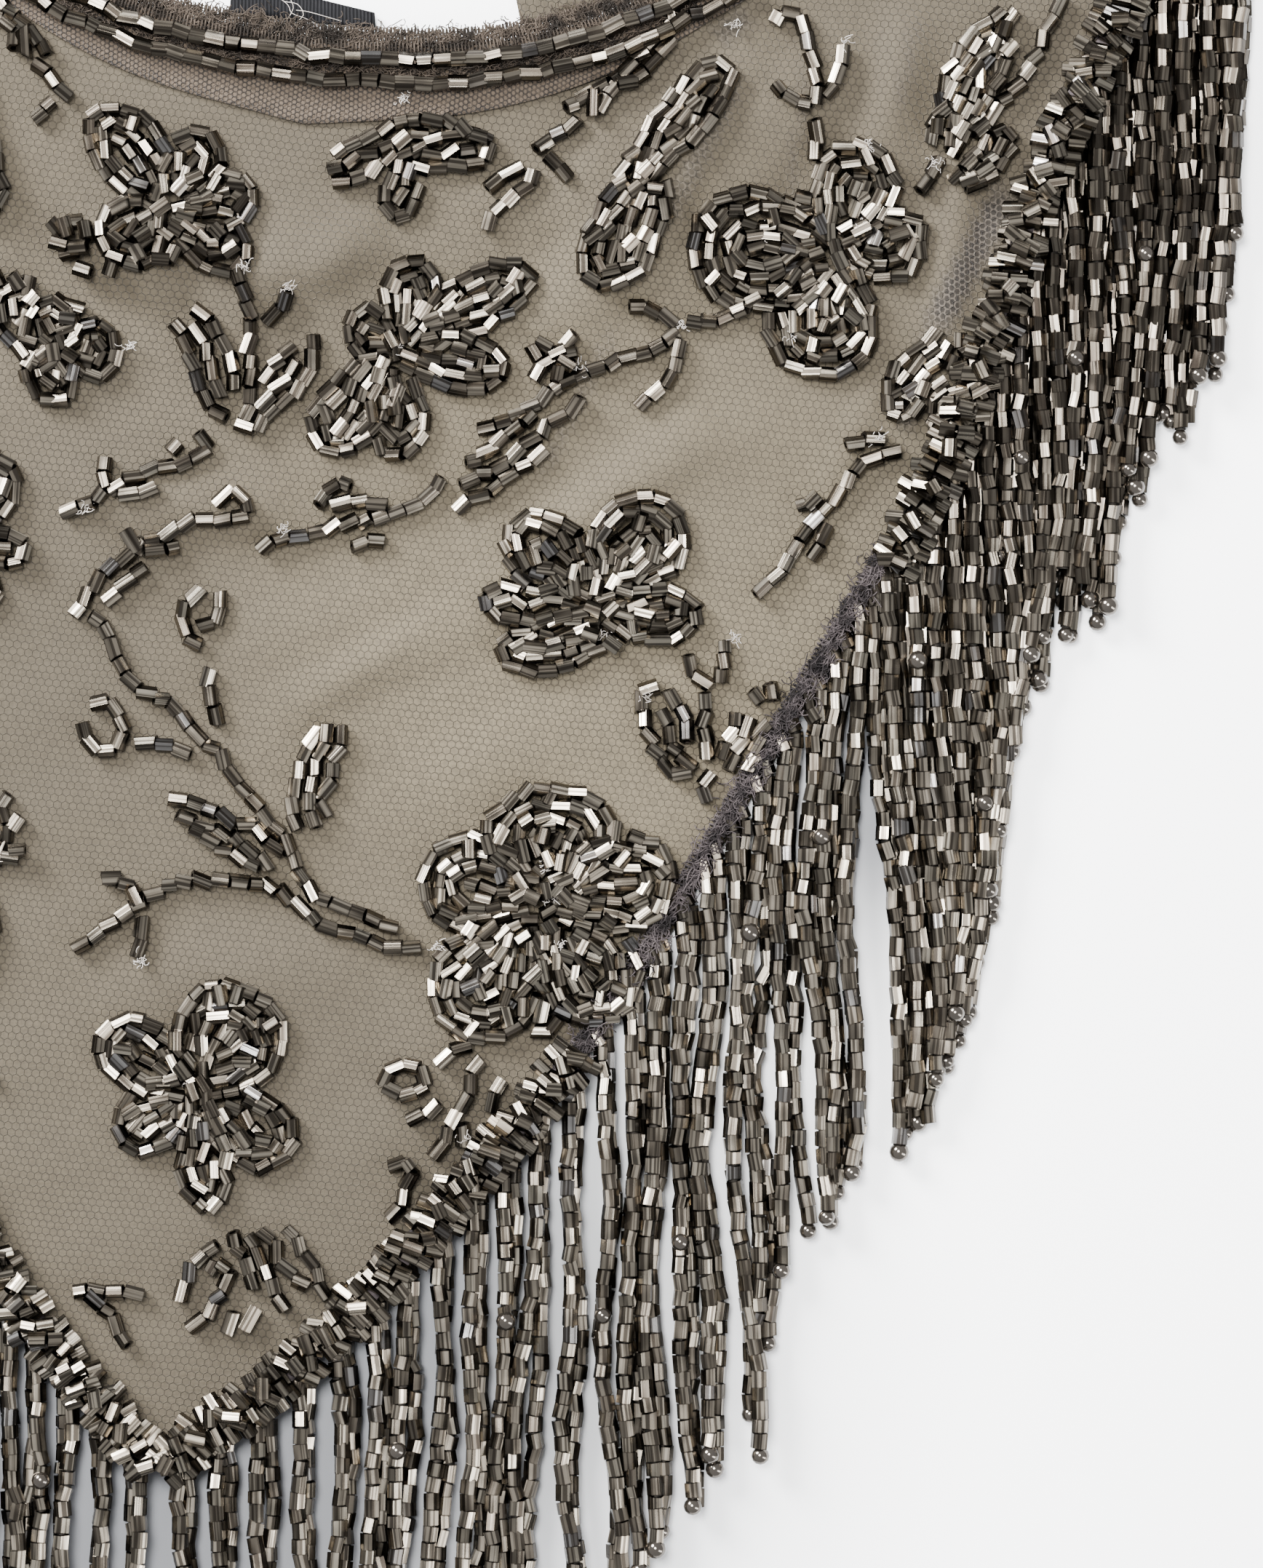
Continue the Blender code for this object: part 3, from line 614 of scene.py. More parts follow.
def joined_beads(name, start, end, radius, rng, finish, slot):
    """One mesh of all the beads. Its colours hold each face's tone, with painted highlights and painted
    shade in it, and the bead's hue.
    """
    points, faces, kinds, round_about = bead_form(slot == "glass_beads")
    count = len(start)
    span = end - start
    length = np.linalg.norm(span, axis=1)[:, None]
    run = span / length
    across, up = bead_axes(run, rng)
    local = np.repeat(points[None], count, 0)
    slant = rng.normal(0, 0.1, (count, 2, 1))
    lean = local[:, :, 0] * slant[:, 0] + local[:, :, 1] * slant[:, 1]
    local[:, :, 2] += np.sign(local[:, :, 2]) * lean * 0.5
    wide = radius[:, None, None]
    placed = (start + end)[:, None] / 2 + across[:, None] * local[:, :, 0:1] * wide
    placed += up[:, None] * local[:, :, 1:2] * wide + run[:, None] * local[:, :, 2:3] * length[:, None]
    mesh = bpy.data.meshes.new(name)
    all_faces = (faces[None] + np.arange(count)[:, None, None] * len(points)).reshape(-1, 4)
    mesh.from_pydata((placed.reshape(-1, 3) * MM).tolist(), [], all_faces.tolist())
    tone = facet_tones(placed[:, faces], kinds, rng)
    # Painted shade: beads darker where the strands crowd and towards the neckline's middle.
    tone *= light_share(start, slot)[:, None]
    hue = np.repeat(rng.random((count, 1)), len(faces), 1)
    color = np.stack((tone, hue, np.zeros_like(tone), np.ones_like(tone)), 2)
    layer = mesh.color_attributes.new("bead", "FLOAT_COLOR", "CORNER")
    layer.data.foreach_set("color", np.repeat(color[:, :, None], 4, 2).astype(np.float32).ravel())
    wrap = mesh.uv_layers.new(name="wrap")
    wrap.data.foreach_set("uv", np.tile(round_about, (count, 1)).astype(np.float32).ravel())
    return shown(name, mesh, finish)


def put(name, data):
    """An object with this data in the scene."""
    placed = bpy.data.objects.new(name, data)
    bpy.context.scene.collection.objects.link(placed)
    return placed


def mesh_of(name, bm):
    mesh = bpy.data.meshes.new(name)
    bm.to_mesh(mesh)
    bm.free()
    return mesh


def shown(name, mesh, finish):
    """A finished piece that rides on the body."""
    piece = put(name, mesh)
    piece.data.materials.append(finish)
    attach(piece, "root")
    return piece


def wander(count, size, rng):
    """A slow shift to and fro along a row."""
    knots = np.linspace(0, count - 1, count // 5 + 2)
    shifts = [np.interp(np.arange(count), knots, rng.normal(0, size, len(knots))) for _ in range(2)]
    return np.stack(shifts, 1)


def petal_axes(inner, tip):
    """A petal's length, and its directions along and across."""
    length = np.linalg.norm(tip - inner)
    along = (tip - inner) / length
    return length, along, np.array((-along[1], along[0]))


def petal_rows(inner, tip, width, rng):
    """Nested rows that follow a petal's outline, from its inner end round its tip and back."""
    length, along, across = petal_axes(inner, tip)
    half = width / 2 - BEAD_RADIUS
    widest = 0.56 * length
    rows = []
    k = 0
    while half - k * ROW_PITCH > 0.9:
        reach = half - k * ROW_PITCH
        cap = max(length - BEAD_RADIUS - k * ROW_PITCH - widest, 0.5)
        first = min(0.6 + 1.5 * k, widest - 0.5)
        rise = np.linspace(0, 1, 9)
        side_along = first + (widest - first) * rise
        side_off = reach * (0.42 + 0.58 * np.sin(math.pi / 2 * rise))
        round_tip = np.linspace(0, math.pi, 17)[1:-1]
        s = np.concatenate((side_along, widest + cap * np.sin(round_tip), side_along[::-1]))
        t = np.concatenate((side_off, reach * np.cos(round_tip), -side_off[::-1]))
        row = inner + s[:, None] * along + t[:, None] * across
        rows.append(row + wander(len(s), 0.12 + 0.3 * min(k, 1), rng))
        k += 1
    left = half - k * ROW_PITCH
    if left > -0.7:
        end = max(length - BEAD_RADIUS - k * ROW_PITCH, 0.6 * length)
        rows.append(np.array((inner + along * (0.6 + 1.2 * k), inner + along * end)))
    return rows


def loose_spots(rng):
    """Places for loose beads in the petals and the heaps, each with the way a bead lies there."""
    spots = []
    for a, b, c, d, width in PETALS:
        inner, tip = on_view(((a, b), (c, d)))
        length, along, across = petal_axes(inner, tip)
        half = width / VIEW_UNITS / 2 - 2 * BEAD_RADIUS
        for share, aside in rng.uniform((0.1, -1), (0.9, 1), (int(length * half * 2.2), 2)):
            wide = half * min(0.45 + share, math.sqrt(max(0.0, 1 - (max(share - 0.56, 0) / 0.4) ** 2)), 1.0)
            heading = math.atan2(along[1], along[0]) + 0.5 * aside
            spots.append((inner + along * length * share + across * wide * aside, heading))
    for a, b, radius in HEAPS:
        for reach, turn in rng.uniform((0, 0), (1, 2 * math.pi), (int(radius * 1.4), 2)):
            out = np.array((math.cos(turn), math.sin(turn)))
            spots.append((on_view((a, b)) + out * math.sqrt(reach) * radius / VIEW_UNITS, turn))
    return spots


def motif_lines():
    """Every row of the bead work on the net, with the outer motifs repeated on the other half."""
    lines = []
    rng = np.random.default_rng(4)
    for a, b, c, d, width in PETALS:
        inner, tip = on_view(((a, b), (c, d)))
        lines += petal_rows(inner, tip, width / VIEW_UNITS, rng)
    lines += [smooth_line(on_view(row), 0.5) for row in SPRIGS]
    far = [line for line in lines if to_garment(line)[:, 0].min() > MIRROR_FROM_U]
    return lines, [mirrored(line) for line in far]


def motif_beads(finish):
    right, left = motif_lines()
    rng = np.random.default_rng(3)
    loose = loose_spots(rng)
    far = [spot for spot in loose if to_garment(spot[0][None])[0, 0] > MIRROR_FROM_U]
    loose_left = [(mirrored(spot[None])[0], math.pi - heading) for spot, heading in far]
    pieces = []
    halves = (("motif_beads", right, loose, 11), ("motif_beads_left", left, loose_left, 12))
    for name, lines, spots, seed in halves:
        pile = BeadPile(name, seed)
        for line in lines:
            pile.row_on_net(line)
        pile.settle()
        pile.heap(spots, 1.1)
        pieces.append(pile.built(finish, "glass_beads"))
    return pieces


def hem_part(low, high, out, from_u):
    """The hem line between two heights, moved out, in the garment's frame."""
    line = moved_in(hem_line(0.5), -out)
    return line[(line[:, 1] > low) & (line[:, 1] < high) & (line[:, 0] > from_u)]


def roll_line(low, high, step, side, out):
    """The middle of a hem roll between two heights, in the row frame."""
    return on_side(even_points(hem_part(low, high, out, 1.5), step), side)


def hem_roll_beads(name, low, high, side, out_by, seed, finish):
    """Short rows laid side by side over the hem's roll, with turned beads on top."""
    pile = BeadPile(name, seed)
    rng = pile.rng
    line = hem_part(low, high, out_by, 0.5)
    for layer, pitch, count in ((0, 1.8, 3), (1, 2.5, 2), (2, 5.2, 1)):
        stations = even_points(line, pitch)
        for station, (a, b) in zip(stations, outward_of(stations)):
            turn = rng.normal(0.12, 0.22 + 0.2 * layer)
            c, s = math.cos(turn), math.sin(turn)
            out = np.array((a * c - b * s, a * s + b * c))
            offs = (np.arange(count + 1) - count / 2) * 2.15 + rng.uniform(-0.5, 0.5)
            flat = on_side(station + offs[:, None] * out, side)
            crown = 0.9 * np.cos(np.clip(offs / 4.2, -1, 1) * math.pi / 2)
            height = NET_TOP + GAP + BEAD_RADIUS + crown + 1.25 * layer
            pile.thread(np.column_stack((flat, height)), BEAD_RADIUS, 0.14)
    return pile.built(finish, "glass_beads")


def strand_length(k):
    wave = math.sin(1.9 * k) + 0.7 * math.sin(0.73 * k + 1.0) + 0.5 * math.sin(3.1 * k)
    longest = np.interp(k, *np.array(STRAND_LENGTHS).T)
    spread = STRAND_SPREAD + SIDE_SPREAD * min(max((k - 54) / 6.0, 0.0), 1.0)
    return longest - spread * (1 - wave / 2.2) / 2


def strand_sway(k, share):
    sway = (1.6 * np.sin(0.11 * k + 3.2 * share) + 0.9 * np.sin(0.05 * k + 7.0 * share)) * share * 0.7
    parted = PARTING_HALF * math.exp(-abs(k - PARTING) / PARTING_REACH) * np.clip((share - 0.05) / 0.5, 0, 1)
    return sway + math.copysign(1.0, k - PARTING) * parted


def strand_route(k, side, root, outward, rng):
    """A strand's own line in 3-D: out from the hem, then down the view, with a wander of its own."""
    length = strand_length(k)
    steps = np.linspace(0, length, round(length / STRAND_BEAD) + 1)
    hang = 0.3 + 0.7 * np.clip(steps / 5.0, 0, 1)
    hang = hang * hang * (3 - 2 * hang)
    run = outward * (1 - hang)[:, None] + np.array((0.0, -1.0)) * hang[:, None]
    run /= np.linalg.norm(run, axis=1)[:, None]
    flat = root + np.vstack(((0.0, 0.0), np.cumsum(run[1:] * np.diff(steps)[:, None], 0)))
    share = steps / length
    kink = rng.uniform(0.3, 0.7) * np.sin(steps / rng.uniform(5, 9) + rng.uniform(0, 6.3))
    kink = kink * np.clip(steps / 15, 0, 1)
    kink += (rng.normal(0, 0.7) + 1.3 * math.sin(0.8 * k + 1.0)) * share
    kink *= 1.0 if k < CROWDED_FROM else 0.4
    flat[:, 0] += side * strand_sway(k, share) + kink
    level = UNDER_LEVEL if k % 1 else BACK_LEVEL if k % 2 else FRONT_LEVEL
    height = ROOT_HEIGHT + (level - ROOT_HEIGHT) * np.clip(steps / 10.0, 0, 1)
    height += 0.25 * np.sin(steps / 6.0 + k) * np.clip(steps / 10.0, 0, 1)
    return np.column_stack((flat, np.maximum(height, STRAND_RADIUS + 0.25)))


def fringe(name, side, seed, finish, ball_finish, cord_finish):
    """All strands of one half, the balls at their ends and the threads in them."""
    pile = BeadPile(name, seed)
    line = hem_line(0.25)
    along = np.append(0, np.cumsum(np.linalg.norm(np.diff(line, axis=0), axis=1)))
    outward = outward_of(line)
    ends = []
    routes = []
    for k in list(range(120)) + [k + 0.5 for k in range(CROWDED_FROM, 120)]:
        paired = PAIRED if k < CROWDED_FROM - 12 else CROWDED_PAIRED
        wanted = FIRST_STRAND + STRAND_PITCH * k - (paired if k % 2 else 0.0)
        i = int(np.searchsorted(along, wanted))
        if i >= len(line) or line[i][1] > STRAND_TOP_V:
            continue
        root = line[i] + outward[i] * STRANDS_OUT
        root, tip = on_side(np.array((root, root + outward[i])), side)
        route = strand_route(k, side, root, tip - root, pile.rng)
        pile.thread(route, STRAND_RADIUS, 0.14)
        routes.append(route)
        ends.append(route[-1] + (0.0, -0.9, 0.0))
    beads = pile.built(finish, "strand_beads")
    ends += [route[pile.rng.integers(8, len(route) - 3)] + (0.0, 0.0, 0.5) for route in routes[::6]]
    end_balls(name + "_balls", np.array(ends), pile.rng, ball_finish)
    threads(name + "_cords", routes, CORD_RADIUS, 0, cord_finish)
    return beads


def end_balls(name, centres, rng, finish):
    bm = bmesh.new()
    for x, y, z in centres:
        if rng.random() < LOST_BALLS:
            continue
        radius = BALL_RADIUS * rng.uniform(0.85, 1.08) * MM
        made = bmesh.ops.create_uvsphere(bm, u_segments=12, v_segments=8, radius=radius)
        bmesh.ops.translate(bm, verts=made["verts"], vec=(x * MM, y * MM, max(z, 1.3) * MM))
    for face in bm.faces:
        face.smooth = True
    return shown(name, mesh_of(name, bm), finish)


def level(height):
    """A sheet's height that is the same everywhere."""
    return lambda points: np.full(len(points), height)


def cut_sheet(name, outline, step, height, finish, thick=NET_THICK):
    """A thin cloth shell cut to an outline of the row frame. Its upper face's height follows the place."""
    bm = bmesh.new()
    bm.faces.new([bm.verts.new((x * MM, y * MM, 0.0)) for x, y in outline])
    for axis in (0, 1):
        low, high = outline[:, axis].min(), outline[:, axis].max()
        for place in np.arange(low + step / 2, high, step):
            plane = [0.0, 0.0, 0.0]
            normal = [0.0, 0.0, 0.0]
            plane[axis] = place * MM
            normal[axis] = 1.0
            bmesh.ops.bisect_plane(
                bm, geom=bm.verts[:] + bm.edges[:] + bm.faces[:], plane_co=plane, plane_no=normal, dist=1e-7
            )
    flat = np.array([v.co.xy for v in bm.verts]) / MM
    for vert, z in zip(bm.verts, height(flat)):
        vert.co.z = z * MM
    doubled = bm.verts.layers.float.new("doubled")
    for vert, share in zip(bm.verts, doubled_share(flat)):
        vert[doubled] = share
    bmesh.ops.recalc_face_normals(bm, faces=bm.faces)
    if sum(f.normal.z for f in bm.faces) < 0:
        bmesh.ops.reverse_faces(bm, faces=bm.faces)
    bmesh.ops.solidify(bm, geom=bm.faces[:], thickness=thick * MM)
    for face in bm.faces:
        face.smooth = True
    return shown(name, mesh_of(name, bm), finish)


def threads(name, lines, radius, sides, finish, capped=True):
    """Round threads along 3-D lines, as one mesh."""
    curve = bpy.data.curves.new(name, "CURVE")
    curve.dimensions = "3D"
    curve.bevel_depth = radius * MM
    curve.bevel_resolution = sides
    curve.use_fill_caps = capped
    for line in lines:
        spline = curve.splines.new("POLY")
        spline.points.add(len(line) - 1)
        spline.points.foreach_set("co", np.column_stack((line * MM, np.ones(len(line)))).ravel())
    holder = bpy.data.objects.new(name, curve)
    mesh = bpy.data.meshes.new_from_object(holder)
    mesh.name = name
    bpy.data.objects.remove(holder)
    bpy.data.curves.remove(curve)
    mesh.materials.clear()
    return shown(name, mesh, finish)


def wound_thread(line, height, radius, pitch, rng):
    """An overlock thread wound round a line of the row frame."""
    fine = even_points(line, pitch / 9)
    turn = np.arange(len(fine)) * 2 * math.pi / 9 + np.cumsum(rng.normal(0, 0.12, len(fine)))
    reach = radius * (1 + 0.18 * np.sin(np.arange(len(fine)) * 0.13))
    flat = fine - outward_of(fine) * (reach * np.cos(turn))[:, None]
    return np.column_stack((flat, height + 0.7 * reach * np.sin(turn)))


def fuzz(line, height, reach, count, rng, wide=0.5, stray=2.0):
    """Short curled fibres, tangled along a thread edge and standing out of it."""
    run = runs(line) if len(line) > 1 else np.array([(1.0, 0.0)])
    fibres = []
    for _ in range(count):
        i = rng.integers(len(line))
        at = line[i] + rng.normal(0, wide, 2)
        heading = math.atan2(run[i][1], run[i][0]) + rng.normal(0, stray) + math.pi * rng.integers(2)
        curl = rng.normal(0, 0.7)
        length = reach * rng.uniform(0.5, 1.3)
        rise = rng.uniform(-0.2, 0.7)
        points = []
        spot = np.array((at[0], at[1], height + rng.uniform(0, 0.8)))
        for _ in range(4):
            points.append(spot.copy())
            spot += np.array((math.cos(heading), math.sin(heading), rise)) * length / 4
            heading += curl
            rise -= 0.2
        fibres.append(np.maximum(points, (-1e9, -1e9, 0.1)))
    return fibres


def torn_threads():
    """Pale threads over the label's scrap, across and down the view, each with its height."""
    rows = (
        ((386, 0), (397, 9), (402, 20), (420, 27), (438, 36)), ((400, 0), (404, 12), (399, 24), (392, 33)),
        ((408, 16), (424, 18), (446, 24), (470, 31)), ((392, 4), (410, 8), (418, 22), (409, 32)),
    )
    return [(row, np.full(len(smooth_line(on_view(row), 0.4)), 1.5)) for row in rows]


class Nodes:
    """Short calls for a material's node tree."""

    def __init__(self, name):
        self.material = bpy.data.materials.new(name)
        self.material.use_nodes = True
        self.tree = self.material.node_tree
        self.shader = self.tree.nodes["Principled BSDF"]

    def add(self, kind, inputs=None, **settings):
        node = self.tree.nodes.new("ShaderNode" + kind)
        for key, value in settings.items():
            setattr(node, key, value)
        for key, value in (inputs or {}).items():
            self.feed(node.inputs[key], value)
        return node

    def feed(self, socket, value):
        if isinstance(value, bpy.types.NodeSocket):
            self.tree.links.new(value, socket)
        else:
            socket.default_value = value

    def math(self, operation, *values):
        node = self.add("Math", operation=operation)
        for socket, value in zip(node.inputs, values):
            self.feed(socket, value)
        return node.outputs[0]

    def vector(self, operation, *values):
        node = self.add("VectorMath", operation=operation)
        for socket, value in zip(node.inputs, values):
            self.feed(socket, value)
        return node.outputs["Value" if operation == "DOT_PRODUCT" else "Vector"]

    def mix(self, share, first, second):
        node = self.add("Mix", data_type="RGBA")
        self.feed(node.inputs[0], share)
        self.feed(node.inputs[6], first)
        self.feed(node.inputs[7], second)
        return node.outputs[2]

    def noise(self, scale, detail=2.0, stretch=(1.0, 1.0, 1.0), turn=0.0):
        place = self.add("Mapping", {"Vector": self.place(), "Scale": stretch, "Rotation": (0.0, 0.0, turn)})
        noise = self.add("TexNoise", {"Vector": place.outputs[0], "Scale": scale, "Detail": detail})
        return noise.outputs["Fac"]

    def place(self):
        return self.add("TexCoord").outputs["Object"]

    def distance(self, centre, stretch=(1.0, 1.0, 1.0)):
        """How far a place lies from a centre, in metres."""
        off = self.vector("MULTIPLY", self.vector("SUBTRACT", self.place(), centre), stretch)
        return self.math("SQRT", self.vector("DOT_PRODUCT", off, off))

    def ramp(self, value, low, high, first=0.0, last=1.0):
        node = self.add(
            "MapRange", {0: value, 1: low, 2: high, 3: first, 4: last}, interpolation_type="SMOOTHSTEP"
        )
        return node.outputs[0]

    def bump(self, height, distance, strength=1.0):
        node = self.add("Bump", {"Height": height, "Distance": distance, "Strength": strength})
        self.feed(self.shader.inputs["Normal"], node.outputs[0])

    def set(self, **values):
        for key, value in values.items():
            self.feed(self.shader.inputs[key.replace("_", " ")], value)


def hex_lines(nodes, cell, turn, wobble=0.12):
    """How close a place is to a thread of the net, from 0 in a cell's middle to 1 on the thread."""
    bend = nodes.add("TexNoise", {"Vector": nodes.place(), "Scale": 60.0, "Detail": 2.0})
    shaken = nodes.vector("SCALE", nodes.vector("SUBTRACT", bend.outputs["Color"], (0.5, 0.5, 0.5)))
    shaken.node.inputs["Scale"].default_value = wobble * 12
    scale = 1000 / cell
    turned = (0.0, 0.0, turn)
    grid = nodes.add("Mapping", {"Vector": nodes.place(), "Scale": (scale, scale, 0.0), "Rotation": turned})
    grid.inputs["Location"].default_value = (400.0, 400.0 * math.sqrt(3), 0.0)
    place = nodes.vector("ADD", grid.outputs[0], shaken)
    flat = nodes.vector("MULTIPLY", place, (1.0, 1.0, 0.0))
    size = (1.0, math.sqrt(3), 1.0)
    half = (0.5, math.sqrt(3) / 2, 0.0)
    first = nodes.vector("SUBTRACT", nodes.vector("MODULO", flat, size), half)
    second = nodes.vector("MODULO", nodes.vector("SUBTRACT", flat, half), size)
    second = nodes.vector("SUBTRACT", second, half)
    nearer = nodes.math("LESS_THAN", nodes.vector("DOT_PRODUCT", first, first),
                        nodes.vector("DOT_PRODUCT", second, second))
    chosen = nodes.add("Mix", data_type="VECTOR")
    nodes.feed(chosen.inputs[0], nearer)
    nodes.feed(chosen.inputs[4], second)
    nodes.feed(chosen.inputs[5], first)
    off = nodes.vector("ABSOLUTE", chosen.outputs[1])
    slanted = nodes.vector("DOT_PRODUCT", off, (0.5, math.sqrt(3) / 2, 0.0))
    straight = nodes.add("SeparateXYZ", {0: off}).outputs[0]
    return nodes.math("MAXIMUM", slanted, straight)


def net_finish():
    """Fine hexagonal net over a crepe lining, seen as one surface, darker where the net lies double, with
    painted shade away from the middle of the view.
    """
    nodes = Nodes("net")
    line = nodes.ramp(hex_lines(nodes, 0.97, TILT), 0.41, 0.5)
    second = nodes.ramp(hex_lines(nodes, 0.8, TILT + 0.35, 0.2), 0.3, 0.48)
    doubled = nodes.add("Attribute", attribute_name="doubled").outputs["Fac"]
    warp = nodes.noise(2600, 2.0, (1.0, 0.25, 1.0), 0.5)
    weft = nodes.noise(2600, 2.0, (0.25, 1.0, 1.0), 0.5)
    grain = nodes.math("MULTIPLY", nodes.math("ADD", warp, weft), 0.5)
    shows = nodes.ramp(nodes.noise(26, 2.0), 0.38, 0.66, 0.05, 0.42)
    lining = nodes.mix(nodes.ramp(nodes.noise(16, 3.0), 0.3, 0.7), CREPE_DARK, CREPE_LIGHT)
    crepe = nodes.mix(nodes.ramp(grain, 0.38, 0.62, 0.55, 0.0), lining, CREPE_THREAD)
    color = nodes.mix(nodes.math("MULTIPLY", line, shows), crepe, NET_THREAD)
    double = nodes.mix(second, (0.009, 0.0075, 0.0065, 1), (0.088, 0.074, 0.060, 1))
    color = nodes.mix(nodes.math("MULTIPLY", doubled, 0.9), color, double)
    # Painted shade: the cloth darkens with distance from a point near the middle of the view, standing for
    # light that falls off across it.
    far = nodes.ramp(nodes.distance((0.026, -0.006, 0.0)), 0.02, 0.066, 0.0, 0.42)
    color = nodes.mix(far, color, (0.012, 0.009, 0.006, 1))
    nodes.set(Base_Color=color, Roughness=0.75, Sheen_Weight=0.05, Specular_IOR_Level=0.2)
    relief = nodes.math("ADD", nodes.math("MULTIPLY", line, 0.6), nodes.math("MULTIPLY", grain, 0.5))
    nodes.bump(relief, 0.0002)
    return nodes.material


def plain_cloth_finish(name, light, dark, scale):
    nodes = Nodes(name)
    line = nodes.ramp(hex_lines(nodes, 0.62, TILT + 0.5, 0.3), 0.28, 0.5)
    grain = nodes.ramp(nodes.noise(scale, 3.0), 0.3, 0.6, 0.3, 1.0)
    color = nodes.mix(nodes.math("MULTIPLY", line, grain), light, dark)
    nodes.set(Base_Color=color, Roughness=0.8, Sheen_Weight=0.05, Specular_IOR_Level=0.2)
    nodes.bump(nodes.math("ADD", line, grain), 0.0002)
    return nodes.material


def bead_finish(name, light):
    """Smoky glass over a metal lining: every facet has its tone, with painted highlights and painted shade
    in it, and long painted highlight streaks; each bead's ends carry painted shade; every bead has its hue.
    """
    nodes = Nodes(name)
    layer = nodes.add("VertexColor", layer_name="bead")
    tone, hue, _ = nodes.add("SeparateColor", {0: layer.outputs[0]}).outputs
    wrap = nodes.add("SeparateXYZ", {0: nodes.add("UVMap", uv_map="wrap").outputs[0]}).outputs
    # Painted highlights: long streaks round each bead that brighten some facets and darken others.
    across = nodes.math("MULTIPLY_ADD", hue, 61.0, wrap[0])
    place = nodes.add("CombineXYZ", {0: across, 1: nodes.math("MULTIPLY", wrap[1], 0.03)}).outputs[0]
    highlight_streak = nodes.add("TexNoise", {"Vector": place, "Scale": 1.7, "Detail": 1.0}).outputs["Fac"]
    highlight_streak = nodes.ramp(highlight_streak, 0.44, 0.56, 0.25, 1.45)
    # Painted shade: each bead darker towards its ends, where it meets the next.
    end_shade = nodes.math("SUBTRACT", 0.5, nodes.math("ABSOLUTE", nodes.math("SUBTRACT", wrap[1], 0.5)))
    end_shade = nodes.ramp(end_shade, 0.0, 0.06, 0.25, 1.0)
    shade = nodes.math("MULTIPLY", nodes.math("MULTIPLY", tone, highlight_streak), end_shade)
    # The colour of the brightest facets: a painted glint.
    glint = nodes.mix(nodes.ramp(hue, 0.1, 0.6), (0.50, 0.45, 0.36, 1), light)
    glint = nodes.mix(nodes.ramp(hue, 0.95, 0.97), glint, (0.47, 0.455, 0.44, 1))
    color = nodes.mix(shade, (0.015, 0.012, 0.0095, 1), glint)
    rough = nodes.ramp(nodes.noise(300, 1.0), 0.3, 0.7, 0.2, 0.3)
    nodes.set(Base_Color=color, Metallic=1.0, Roughness=rough)
    nodes.bump(highlight_streak, 0.00002, 0.25)
    return nodes.material


def ball_finish():
    nodes = Nodes("end_ball")
    color = nodes.mix(nodes.noise(300, 1.0), (0.045, 0.038, 0.031, 1), (0.085, 0.073, 0.06, 1))
    nodes.set(Base_Color=color, Metallic=0.9, Roughness=0.14, Coat_Weight=0.4)
    nodes.bump(nodes.noise(600, 1.0), 0.00003, 0.2)
    return nodes.material


def thread_finish(name, light, dark):
    nodes = Nodes(name)
    color = nodes.mix(nodes.ramp(nodes.noise(420, 3.0), 0.35, 0.65), dark, light)
    nodes.set(Base_Color=color, Roughness=0.9, Specular_IOR_Level=0.15)
    nodes.bump(nodes.noise(4000, 2.0), 0.00008)
    return nodes.material


def label_finish():
    """Black satin with a fine rib."""
    nodes = Nodes("label")
    rib = nodes.add("TexWave", {"Vector": nodes.place(), "Scale": 700.0, "Distortion": 1.0}).outputs["Fac"]
    color = nodes.mix(rib, (0.002, 0.002, 0.0025, 1), (0.008, 0.008, 0.009, 1))
    nodes.set(Base_Color=color, Roughness=0.8, Specular_IOR_Level=0.1)
    nodes.bump(rib, 0.00008)
    return nodes.material


def floor_finish():
    """White paper with painted shadow: greyer where it lies under and between the fringe's strands, and at
    the fringe's parting.
    """
    nodes = Nodes("floor")
    paper = nodes.mix(nodes.noise(9, 2.0), (0.93, 0.93, 0.93, 1), (0.95, 0.95, 0.95, 1))
    # Painted shadow under the fringe, darkest near its lower middle.
    far = nodes.ramp(nodes.distance((-0.030, -0.100, 0.0)), 0.03, 0.108)
    # Painted shadow at the parting, where the floor shows between the strands.
    parting = nodes.ramp(nodes.distance((0.058, -0.024, 0.0), (2.5, 1.0, 0.0)), 0.012, 0.046)
    paper = nodes.mix(parting, (0.15, 0.153, 0.162, 1), paper)
    color = nodes.mix(far, (0.115, 0.118, 0.126, 1), paper)
    nodes.set(Base_Color=color, Roughness=0.6)
    return nodes.material


def area_light(name, place, aim, size, power, color=(1.0, 1.0, 1.0)):
    light = bpy.data.lights.new(name, "AREA")
    light.shape = "RECTANGLE"
    light.size, light.size_y = size
    light.energy = power
    light.color = color
    holder = put(name, light)
    holder.location = place
    run = np.array(aim) - np.array(place)
    holder.rotation_euler = (
        math.acos(-run[2] / np.linalg.norm(run)), 0.0, math.atan2(run[1], run[0]) - math.pi / 2
    )


